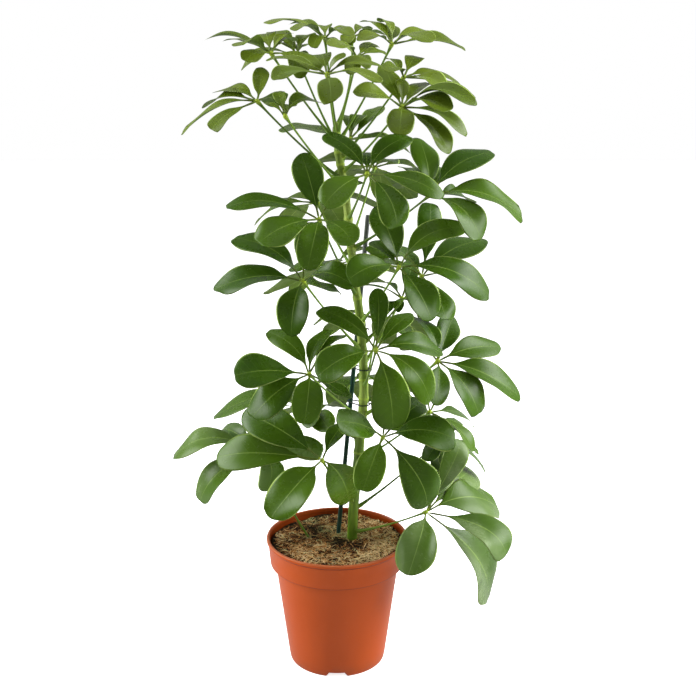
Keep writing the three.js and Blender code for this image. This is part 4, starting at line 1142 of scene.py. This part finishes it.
def buildTrunkSkin(tree, shader, place):
    streaks = mottled(tree, drawnOut(tree, place, 0.12), 150.0, 900.0)
    spots = mottled(tree, place, 30.0, 500.0)
    scar = attributeOf(tree, "scarNearness")
    height = partsOf(tree, place)[2]
    low = mixed(tree, ranged(tree, streaks["Cloud"], 0.35, 0.65), shade(66, 98, 12), shade(104, 134, 34))
    high = mixed(tree, ranged(tree, streaks["Cloud"], 0.35, 0.65), shade(104, 128, 40), shade(146, 164, 76))
    colour = mixed(tree, ranged(tree, height, 0.2, 0.42), low, high)
    colour = mixed(tree, ranged(tree, spots["Cloud"], 0.45, 0.75, 0, 0.5), colour, shade(104, 122, 34))
    speck = ranged(tree, spots["Grain"], 0.62, 0.72, 0, 0.5)
    colour = mixed(tree, speck, colour, shade(164, 172, 110))
    colour = mixed(tree, times(tree, ranged(tree, scar, 0.55, 0.95), 0.6), colour, shade(158, 182, 60))
    finishInto(tree, shader, colour, streaks["Both"], 0.3, 0.3)
    bumpInto(tree, shader, streaks["Both"], 0.4, 0.0006)


trunkSkin = makeMaterial("trunkSkin", buildTrunkSkin)
makeTrunk()

stakeForm = {
    "sides": 16,
    "rows": 120,
    "grain": 0.09,
    "ridges": 4,
    "ripple": 0.6,
    "headDrops": (1.2, 0.5, 0.1),
    "headRadii": (2.4, 1.6),
}


# A coated stake: radius - grain + grain sin(4 a) sin(0.6 z), rounded over at its head
def makeStake():
    form = stakeForm
    first, *others = stakeHead[2] - np.array(form["headDrops"])
    heights = np.linspace(soilSizes["top"] - stakeSizes["depthInSoil"], first, form["rows"])
    path = stakeAt(np.append(heights, others))
    radii = np.append(np.full(form["rows"], stakeSizes["radius"]), form["headRadii"])
    rings = tubeRings(path, 1.0, form["sides"]) - path[:, None]
    around = form["grain"] * np.sin(form["ridges"] * turnsOf(form["sides"]))
    rough = around * np.sin(form["ripple"] * path[:, 2])[:, None]
    points = path[:, None] + rings * (radii[:, None] - form["grain"] + rough)[..., None]
    faces = tubeFaces(len(path), form["sides"])
    piece = makePiece("stake_rod", points, faces, [stakeCoat])
    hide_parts("support_stake")


def buildStakeCoat(tree, shader, place):
    streaks = mottled(tree, drawnOut(tree, place, 0.08), 320.0, 1200.0)
    height = partsOf(tree, place)[2]
    colour = mixed(tree, streaks["Both"], shade(10, 34, 26), shade(30, 72, 60))
    worn = mixed(tree, streaks["Cloud"], shade(34, 38, 38), shade(120, 124, 122))
    colour = mixed(tree, ranged(tree, height, 0.36, 0.54), colour, worn)
    finishInto(tree, shader, colour, streaks["Grain"], 0.3, 0.3)
    bumpInto(tree, shader, streaks["Both"], 0.4, 0.0005)


stakeCoat = makeMaterial("stakeCoat", buildStakeCoat)
makeStake()

ties = {
    "rows": {"tie_upper": 329, "tie_middle": 369, "tie_lower": 404},
    "wireRadius": 0.8,
    "steps": 48,
    "sides": 8,
    "endStart": (1.2, -1.5),
    "endReach": (3.2, -3.0),
    "endRise": (2.6, 2.6, 2.0),
    "endRadius": 0.4,
    "endRings": 14,
    "endSides": 6,
    "swing": 0.38,
    "twist": 9,
}


# A wire loop as the CAD's: a circle's arc round the trunk and one round the stake, with two
# twisted ends that stand out at the front by reach t + swing (cos, sin)(9 t + phase) and rise by
# 2.6 sin(2.6 t) - 2 t^2
def makeTie(name, row):
    height = rowHeight(row)
    trunkCentre = trunkAt(height)
    stakeCentre = stakeAt(height)
    between = (stakeCentre - trunkCentre) * (1, 1, 0)
    steps, sides, count = ties["steps"], ties["sides"], ties["endRings"]
    out = roundPoints(1.0, 2 * np.pi * (np.arange(steps) + 0.5) / steps, 0.0)
    roundStake = (out @ between > 0)[:, None]
    wire = soilSizes["gap"] + ties["wireRadius"]
    held = np.where(roundStake, stakeSizes["radius"], trunkRadiusAt(height) + trunkSizes["scarSwell"]) + wire
    path = np.where(roundStake, stakeCentre, trunkCentre) + out * held
    rolls = turnsOf(sides)[None, :, None]
    rings = path[:, None] + ties["wireRadius"] * (np.cos(rolls) * up + np.sin(rolls) * out[:, None])
    faces = gridFaces([np.arange(sides) + sides * (i % steps) for i in range(steps + 1)])
    points = [rings.reshape(-1, 3)]
    aside, forward = ties["endStart"]
    start = trunkCentre + np.array([trunkRadiusAt(height) + aside, forward, 0])
    t = np.linspace(0, 1, count)
    (across, deep), (rise, bend, drop) = ties["endReach"], ties["endRise"]
    reach = np.stack([across * t, deep * t, rise * np.sin(bend * t) - drop * t * t], axis=1)
    for phase in (0, np.pi):
        turns = ties["twist"] * t + phase
        swing = ties["swing"] * np.stack([np.cos(turns), np.zeros(count), np.sin(turns)], axis=1)
        faces += tubeFaces(count, ties["endSides"], sum(len(block) for block in points))
        points.append(tubeRings(start + reach + swing, ties["endRadius"], ties["endSides"]).reshape(-1, 3))
    piece = makePiece(f"{name}_wire", np.vstack(points), faces, [tieWire])
    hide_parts(name)


def buildTieWire(tree, shader, place):
    spots = mottled(tree, place, 120.0, 900.0)
    colour = mixed(tree, spots["Both"], shade(12, 18, 14), shade(44, 56, 44))
    finishInto(tree, shader, colour, spots["Grain"], 0.3, 0.3)
    bumpInto(tree, shader, spots["Grain"], 0.3, 0.0003)


tieWire = makeMaterial("tieWire", buildTieWire)
for name, row in ties["rows"].items():
    makeTie(name, row)
print("trunk, stake and ties made")

potForm = {
    "columns": 160,
    "notchCount": 3,
    "notchBottom": 26.0,
    "notchTop": 18.6,
    "notchHeight": 5.1,
    "recess": 6.0,
    "floor": 8.0,
    "footWall": 2.4,
    "cornerSplit": (0.998, 0.012),
}


# A closed profile of radius and height, from the middle of the underside round the outside and the
# rim to the middle of the floor, turned about the axis. At each drain notch the foot ring's lower
# edge rises as a trapezium of the arc's length
def makePot():
    size = potSizes
    foot, body, band = size["baseRadius"], size["bodyTopRadius"], size["bandBottomRadius"]
    lip, rim, wall = size["lipFootRadius"], size["topRadius"], size["wall"]
    ledge, top = size["bandBottomHeight"], size["height"]
    lipFoot = top - size["lipHeight"]
    recess, floor = potForm["recess"], potForm["floor"]
    inFoot = foot - potForm["footWall"]
    profile = np.array([
        (0, recess), (30, recess), (foot - 5, recess), (inFoot, recess - 0.6), (inFoot, 0.5),
        (inFoot + 0.5, 0), (foot - 1.1, 0), (foot - 0.3, 0.35), (foot + 0.1, 1.3), (foot + 0.9, 5.6),
        (foot + 1.0, 6.4), (foot + 4.4, 32), (foot + 8.6, 64), (foot + 12.8, 96),
        (body - 0.5, ledge - 4), (body + 0.1, ledge - 0.9), (body + 0.8, ledge),
        (band - 1.0, ledge), (band - 0.2, ledge + 0.4), (band, ledge + 1.2), (band + 1.2, 138),
        (lip - 0.2, lipFoot - 1), (lip + 0.3, lipFoot), (rim - 0.5, lipFoot + 0.4),
        (rim, lipFoot + 1.2), (rim, top - 1.2), (rim - 0.4, top - 0.35), (rim - 1.2, top),
        (rim - wall - 0.5, top), (rim - wall - 1.2, top - 0.4), (rim - wall - 1.6, top - 1.4),
        (lip - wall, lipFoot - 1.3), (band - wall, ledge + wall + 0.3), (body - wall, ledge + wall - 0.3),
        (body - wall - 4.4, 90), (foot + 2, 30), (foot - wall, floor + 1), (foot - wall - 1, floor),
        (0, floor),
    ], float)
    # Columns stand evenly, with one at each corner of each notch
    wide, narrow = potForm["notchBottom"], potForm["notchTop"]
    edges = np.array([narrow, wide]) / 2 / foot
    split, shift = potForm["cornerSplit"]
    corners = np.concatenate([edges, -edges, edges * split + shift])
    middles = -np.pi / 2 + turnsOf(potForm["notchCount"])
    turns = np.concatenate([turnsOf(potForm["columns"]), (middles[:, None] + corners).ravel()])
    turns = np.unique(np.round(np.mod(turns, 2 * np.pi), 5))
    apart = np.abs(np.angle(np.exp(1j * (turns[:, None] - middles)))).min(axis=1) * foot
    notch = potForm["notchHeight"] * np.clip((wide / 2 - apart) / ((wide - narrow) / 2), 0, 1)
    height = np.repeat(profile[:, 1:], len(turns), axis=1)
    low = (profile[:, :1] > foot - 4) & (height < recess - 0.7)
    height = np.where(low, np.maximum(height, notch * (1 - 0.02 * height) + height * 0.12), height)
    grid = roundPoints(profile[:, :1], turns, height)
    points = np.vstack([grid[1:-1].reshape(-1, 3), grid[0, :1], grid[-1, :1]])
    # The rows on the inside of the pot, which take painted shade
    inner = np.arange(len(profile)) > np.argmax(profile[:, 1]) + 1
    values = {"potInnerShade": np.append(np.repeat(inner[1:-1], len(turns)), [False, True])}
    faces = turnedFaces(len(profile) - 2, len(turns))
    piece = makePiece("pot_shell", points, faces, [clayPlastic], values)
    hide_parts("pot")


def buildClayPlastic(tree, shader, place):
    spots = mottled(tree, place, 14.0, 700.0)
    scuff = mottled(tree, place, 60.0, 260.0)
    height = partsOf(tree, place)[2]
    colour = mixed(tree, spots["Cloud"], shade(172, 70, 16), shade(184, 78, 22))
    colour = mixed(tree, ranged(tree, scuff["Both"], 0.6, 0.8, 0, 0.3), colour, shade(204, 108, 56))
    # Painted shade: a dark line along the band's lower edge and along the lip's foot, where shade falls under
    # each ledge
    ledges = (potSizes["bandBottomHeight"] * 0.001, (potSizes["height"] - potSizes["lipHeight"]) * 0.001)
    low, high = (maths(tree, "ABSOLUTE", maths(tree, "SUBTRACT", height, ledge)) for ledge in ledges)
    crease = ranged(tree, maths(tree, "MINIMUM", low, high), 0.0015, 0.0005, 0, 0.75)
    colour = mixed(tree, crease, colour, shade(96, 32, 6))
    # Painted highlight: the top of the rim is paler, where it catches the light
    lip = potSizes["height"] * 0.001
    colour = mixed(tree, ranged(tree, height, lip - 0.002, lip - 0.0005, 0, 0.7), colour, shade(176, 102, 64))
    # Painted shade: the inside of the pot is darker, as if shaded by its wall
    colour = mixed(tree, times(tree, attributeOf(tree, "potInnerShade"), 0.75), colour, shade(128, 52, 14))
    dust = times(tree, ranged(tree, height, 0.02, 0.0), ranged(tree, scuff["Cloud"], 0.4, 0.7, 0.1, 0.5))
    colour = mixed(tree, dust, colour, shade(150, 80, 50))
    finishInto(tree, shader, colour, spots["Both"], 0.2, 0.22)
    bumpInto(tree, shader, spots["Grain"], 0.12, 0.0003)


clayPlastic = makeMaterial("clayPlastic", buildClayPlastic, **{"Specular IOR Level": 0.35})
makePot()
print("pot made")

bed = {
    "columns": 120,
    "rings": 46,
    "bump": 1.6,
    "sink": 0.8,
    "floor": 8.4,
    "lowerRings": ((55.2, 8.4), (57.2, 40.0)),
    # How much paler the medium is to the right, which is painted light, and at the front, and how much less
    # pale it is overall
    "pale": (0.46, 0.16, 0.1),
    "waves": (0.18, 0.09, 0.3),
    "darkSpots": ((290, 527), (312, 530), (338, 545), (358, 550), (309, 514)),
    "darkReach": 12.0,
    "darkness": 0.8,
    "mossSpots": ((312, 522), (345, 540), (326, 533)),
    "mossReach": 12.0,
    "mossGain": 1.4,
    "tufts": 0.7,
}


# The CAD's top: low mounds, and a dip at the back on the left
def soilHeightAt(x, y):
    mounds = np.sin(0.09 * x + 0.7) * np.cos(0.11 * y) + 0.6 * np.sin(0.21 * x - 0.17 * y)
    (dipX, dipY), (reachX, reachY) = soilSizes["dipCentre"], soilSizes["dipReach"]
    dip = np.exp(-(((x - dipX) / reachX) ** 2) - ((y - dipY) / reachY) ** 2)
    return soilSizes["top"] + soilSizes["fill"] + soilSizes["mound"] * mounds - soilSizes["dip"] * dip


# The bed: a disc of rings whose height is the mounds plus fine waves, run down the pot's wall and
# closed at the floor
def makeBed():
    top = potSizes["bandBottomRadius"] - potSizes["wall"] - soilSizes["gap"]
    turns = turnsOf(bed["columns"])
    radii = top * np.linspace(1, 0, bed["rings"], endpoint=False) ** 0.8
    radius, turn = np.meshgrid(radii, turns, indexing="ij")
    x, y = radius * np.cos(turn), radius * np.sin(turn)
    fine = np.sin(0.9 * x + 2 * np.sin(0.4 * y)) * np.sin(1.1 * y + 1.7 * np.sin(0.5 * x))
    fine += 0.6 * np.sin(2.3 * x + 0.8 * y) * np.cos(1.9 * y - 0.7 * x)
    z = soilHeightAt(x, y) - bed["sink"] + bed["bump"] * fine * smoothStep(top, top - 6, radius)
    ledge = potSizes["bandBottomHeight"] + potSizes["wall"]
    wallRings = [(potSizes["bodyTopRadius"] - 2.6, ledge + 0.3), (top - 0.3, ledge + 0.9)]
    lower = [roundPoints(ring, turns, height) for ring, height in (*bed["lowerRings"], *wallRings)]
    grid = np.vstack([np.stack(lower), np.stack([x, y, z], axis=-1)])
    poles = [[0, 0, bed["floor"]], [0, 0, float(soilHeightAt(0.0, 0.0)) - bed["sink"]]]
    points = np.vstack([grid.reshape(-1, 3), poles])
    faces = turnedFaces(len(grid), bed["columns"])
    piece = makePiece("medium_bed", points, faces, [mediumBed])
    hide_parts("growing_medium")


# The sum of exp(-(d / reach)^2) round spots that are read from the photograph
def nearness(spots, reach, x, y):
    total = np.zeros_like(x)
    for pixel in spots:
        spotX, spotY, _ = sightPointAtHeight(pixel, soilSizes["top"])
        total = total + np.exp(-((x - spotX) ** 2 + (y - spotY) ** 2) / reach**2)
    return total


# How pale the medium is at a place: paler to the right, which is painted light where the leaves'
# shadow falls, and at the front, with waves, clumps, and less near each dark spot
def mediumToneAndLight(x, y):
    (right, front, base), (broad, narrow, clumps) = bed["pale"], bed["waves"]
    tone = right * smoothStep(0, 60, x) + front * smoothStep(-20, -60, y) - base
    tone = tone + broad * np.sin(0.07 * x + 1.0) * np.cos(0.06 * y - 0.5)
    tone = tone + narrow * np.sin(0.16 * x + 0.11 * y)
    clump = clumps * np.sin(0.62 * x + 1.6 * np.sin(0.31 * y)) * np.sin(0.7 * y + 1.4 * np.sin(0.27 * x))
    tone = tone + clump
    return tone - bed["darkness"] * nearness(bed["darkSpots"], bed["darkReach"], x, y)


# Each kind of splinter; ranges are from least to most, and tone is a middle and a spread
splinters = {
    "medium_fibres": {
        "count": 4600, "seed": 4, "length": (5, 17), "width": (0.8, 1.5), "flatness": 0.5,
        "tilt": 0.24, "lift": (-0.8, 1.4), "tone": (0.54, 0.34),
    },
    "medium_crumbs": {
        "count": 1500, "seed": 5, "length": (1.6, 4.0), "width": (1.6, 3.2), "flatness": 0.7,
        "tilt": 0.4, "lift": (-1.0, 0.4), "tone": (0.2, 0.2),
    },
    "medium_straws": {
        "count": 620, "seed": 6, "length": (10, 24), "width": (0.9, 1.4), "flatness": 0.6,
        "tilt": 0.12, "lift": (0.6, 2.2), "tone": (0.78, 0.16),
    },
}
splinterForm = {
    "stations": np.array([-1.0, -0.3, 0.4, 1.0]),
    "taper": np.array([0.45, 1.0, 0.9, 0.35]),
    "bend": 0.08,
    "sway": 0.27,
    "fromWall": 1.5,
    "bareShare": 0.3,
    "looseMoss": 0.6,
    "looseFrom": 0.92,
    "tuftFrom": 0.86,
}


# Splinters scattered over the bed: each a strip of three-cornered rings along centre + d u L / 2
# + n bend (1 - u^2) L + e sway u^2 L, turned and tipped at random
def makeSplinters(name, kind):
    form, count = splinterForm, kind["count"]
    rng = np.random.default_rng(kind["seed"])
    top = potSizes["bandBottomRadius"] - potSizes["wall"] - form["fromWall"]
    long = rng.uniform(*kind["length"], count) * (0.6 + 0.4 * rng.random(count))
    wide = rng.uniform(*kind["width"], count)
    away = (top - long / 2) * np.sqrt(rng.random(count))
    turn = rng.uniform(0, 2 * np.pi, count)
    heading = rng.uniform(0, 2 * np.pi, count)
    tip = rng.normal(0, kind["tilt"], count)
    x, y = away * np.cos(turn), away * np.sin(turn)
    centre = np.stack([x, y, soilHeightAt(x, y) + rng.uniform(*kind["lift"], count)], axis=1)
    d = np.stack([np.cos(heading) * np.cos(tip), np.sin(heading) * np.cos(tip), np.sin(tip)], axis=1)
    e = np.stack([-np.sin(heading), np.cos(heading), np.zeros(count)], axis=1)
    n = np.cross(d, e)
    u = form["stations"]
    bend = rng.normal(0, form["bend"], count)
    sway = rng.normal(0, form["sway"], count)
    path = centre[:, None] + d[:, None] * (u[None, :, None] * long[:, None, None] / 2)
    path = path + n[:, None] * ((1 - u**2)[None, :, None] * (bend * long)[:, None, None])
    path = path + e[:, None] * ((u**2)[None, :, None] * (sway * long)[:, None, None])
    roll = rng.uniform(0, 2 * np.pi, count)[:, None] + turnsOf(3)
    ring = np.cos(roll)[..., None] * e[:, None] + kind["flatness"] * np.sin(roll)[..., None] * n[:, None]
    breadth = form["taper"][None, :, None, None] * wide[:, None, None, None] / 2
    points = path[:, :, None] + ring[:, None] * breadth
    starts = 12 * np.arange(count)[:, None, None]
    quads = (np.array(gridFaces([np.arange(3) + 3 * i for i in range(4)])) + starts).reshape(-1, 4)
    ends = (np.array([[2, 1, 0], [9, 10, 11]]) + starts).reshape(-1, 3)
    # A splinter's tone: a random share plus the medium's paleness at its place, painted light included
    tone = np.clip(rng.normal(*kind["tone"], count) + mediumToneAndLight(x, y), 0, 1)
    drawn = rng.random(count)
    moss = np.clip(bed["mossGain"] * nearness(bed["mossSpots"], bed["mossReach"], x, y), 0, 1)
    moss = np.maximum(moss * (drawn > form["bareShare"]), form["looseMoss"] * (drawn > form["looseFrom"]))
    tone = np.clip(tone + bed["tufts"] * moss * (drawn > form["tuftFrom"]), 0, 1)
    values = {"splinterTone": np.repeat(tone, 12), "splinterMoss": np.repeat(moss, 12)}
    faces = quads.tolist() + ends.tolist()
    makePiece(name, points, faces, [mediumFibre], values, smooth=False)


def buildMediumBed(tree, shader, place):
    spots = mottled(tree, place, 55.0, 650.0)
    colour = mixed(tree, spots["Cloud"], shade(16, 10, 5), shade(48, 32, 15))
    colour = mixed(tree, ranged(tree, spots["Grain"], 0.6, 0.75), colour, shade(104, 78, 42))
    finishInto(tree, shader, colour, spots["Both"], 0.15, 0.8)
    bumpInto(tree, shader, spots["Both"], 1.0, 0.0015)


def buildMediumFibre(tree, shader, place):
    tone = attributeOf(tree, "splinterTone")
    spots = mottled(tree, place, 160.0, 1500.0)
    ramp = addNode(tree, "ShaderNodeValToRGB", {"Fac": tone})
    stops = {
        0.0: (20, 13, 8),
        0.28: (72, 42, 20),
        0.5: (158, 104, 56),
        0.72: (220, 164, 100),
        1.0: (250, 220, 164),
    }
    for position in list(stops)[1:-1]:
        ramp.color_ramp.elements.new(position)
    for element, (position, colour) in zip(ramp.color_ramp.elements, stops.items()):
        element.position = position
        element.color = shade(*colour)
    moss = times(tree, attributeOf(tree, "splinterMoss"), 0.8)
    colour = mixed(tree, moss, ramp.outputs[0], mixed(tree, tone, shade(50, 58, 20), shade(206, 212, 150)))
    colour = mixed(tree, ranged(tree, spots["Grain"], 0.35, 0.65, 0.35, 0), colour, shade(52, 36, 20))
    finishInto(tree, shader, colour, spots["Both"], 0.2, 0.7)
    bumpInto(tree, shader, spots["Grain"], 0.5, 0.0005)


mediumBed = makeMaterial("mediumBed", buildMediumBed, **{"Specular IOR Level": 0.2})
mediumFibre = makeMaterial("mediumFibre", buildMediumFibre, **{"Specular IOR Level": 0.25})
makeBed()
for name, kind in splinters.items():
    makeSplinters(name, kind)
print("growing medium made")

studio = {
    "floorHalf": 6000.0,
    "floorPaints": (0.9, 0.93),
    "floorCast": 0.6,
    "floorGlows": (0.05, 0.8),
    "floorFade": (-0.35, 0.1),
    "floorMirrored": (0.0, 0.55),
    "roomDiffuse": 0.34,
    "roomMirrored": (0.02, 0.3),
    "windows": 5.2,
    "windowEdge": (0.52, 0.8),
    "windowFoot": (0.28, 0.6),
}
# Places and sizes in metres, power in watts; each light aims at a height on the axis
lights = {
    "leftSoftbox": {"place": (-1.6, 0.1, 0.75), "aim": 0.35, "power": 44.0, "size": (1.1, 1.6)},
    "rightSoftbox": {"place": (1.6, 0.1, 0.75), "aim": 0.35, "power": 64.0, "size": (1.1, 1.6)},
    "topSoftbox": {"place": (0, 0.2, 2.1), "aim": 0.4, "power": 28.0, "size": (1.6, 1.6)},
    "frontFill": {"place": (0, -2.2, 1.6), "aim": 0.35, "power": 4.0, "size": (1.6, 1.2)},
}


# A grey of a linear level
def grey(level):
    return (level, level, level, 1.0)


# A plain pale floor: a flat grid below the pot
def makeFloor():
    line = np.linspace(-studio["floorHalf"], studio["floorHalf"], 9) * 0.001
    x, y = np.meshgrid(line, line, indexing="ij")
    points = np.stack([x, y, np.zeros_like(x)], axis=-1).reshape(-1, 3)
    index = np.arange(81).reshape(9, 9)
    faces = np.stack([index[:-1, :-1], index[1:, :-1], index[1:, 1:], index[:-1, 1:]], axis=-1).reshape(-1, 4)
    mesh = bpy.data.meshes.new("floor")
    mesh.from_pydata(points.tolist(), [], faces.tolist())
    mesh.materials.append(floorPaint)
    floor = linkObject("floor", mesh)


# Pale to the eye, a weak glow for soft light, and in a mirror a glow that grows towards the back
def buildFloorPaint(tree, shader, place):
    cloud = noise(tree, place, 0.8, 2.0)
    paths = addNode(tree, "ShaderNodeLightPath").outputs
    paint = mixed(tree, cloud, *map(grey, studio["floorPaints"]))
    paint = mixed(tree, paths["Is Diffuse Ray"], paint, grey(studio["floorCast"]))
    mirrored = ranged(tree, partsOf(tree, place)[1], *studio["floorFade"], *studio["floorMirrored"])
    tree.links.new(mixed(tree, paths["Is Glossy Ray"], paint, grey(0.0)), shader.inputs["Base Color"])
    glow = mixed(tree, paths["Is Camera Ray"], *map(grey, studio["floorGlows"]))
    tree.links.new(mixed(tree, paths["Is Glossy Ray"], glow, mirrored), shader.inputs["Emission Color"])


floorPaint = makeMaterial("floorPaint", buildFloorPaint, **{"Roughness": 0.9, "Emission Strength": 1.0})
makeFloor()


# An area light at a place, aimed at a point on the axis and unseen in mirrors
def makeLight(name, place, aim, power, size):
    light = bpy.data.lights.new(name, "AREA")
    light.shape = "RECTANGLE"
    light.size, light.size_y = size
    light.energy = power
    lamp = linkObject(name, light)
    lamp.location = place
    lamp.visible_glossy = False
    direction = unit(np.array((0, 0, aim)) - np.array(place))
    lamp.rotation_euler = (math.acos(-direction[2]), 0, math.atan2(direction[1], direction[0]) - math.pi / 2)


for name, light in lights.items():
    makeLight(name, **light)


# The room: even for soft light; in a mirror dim in front, paler at the back, with a bright window
# on either side above the floor; the background itself is plain white
def makeRoom():
    world = bpy.data.worlds.new("studio")
    bpy.context.scene.world = world
    world.use_nodes = True
    tree = world.node_tree
    sideways, back, height = partsOf(tree, addNode(tree, "ShaderNodeTexCoord").outputs["Generated"])
    window = ranged(tree, maths(tree, "ABSOLUTE", sideways), *studio["windowEdge"], 0, studio["windows"])
    window = times(tree, window, ranged(tree, height, *studio["windowFoot"]))
    mirrored = maths(tree, "ADD", window, ranged(tree, back, 0.0, 0.9, *studio["roomMirrored"]))
    paths = addNode(tree, "ShaderNodeLightPath").outputs
    values = {0: paths["Is Glossy Ray"], 2: studio["roomDiffuse"], 3: mirrored}
    strength = addNode(tree, "ShaderNodeMix", values, data_type="FLOAT").outputs[0]
    strength = maths(tree, "MAXIMUM", strength, paths["Is Camera Ray"])
    tree.links.new(strength, tree.nodes["Background"].inputs["Strength"])
    tree.nodes["Background"].inputs["Color"].default_value = (1, 1, 1, 1)


makeRoom()
bpy.context.scene.view_settings.view_transform = "Standard"

camera = bpy.data.cameras.new("camera")
camera.sensor_width = view["filmWidth"]
camera.lens = view["focal"] * view["filmWidth"] / view["pictureWidth"]
camera.clip_end = 50
eyePoint = linkObject("camera", camera)
eyePoint.location = [value * 0.001 for value in view["eye"]]
eyePoint.rotation_euler = (math.radians(90 - view["pitch"]), 0, 0)
bpy.context.scene.camera = eyePoint

print("scene finished")
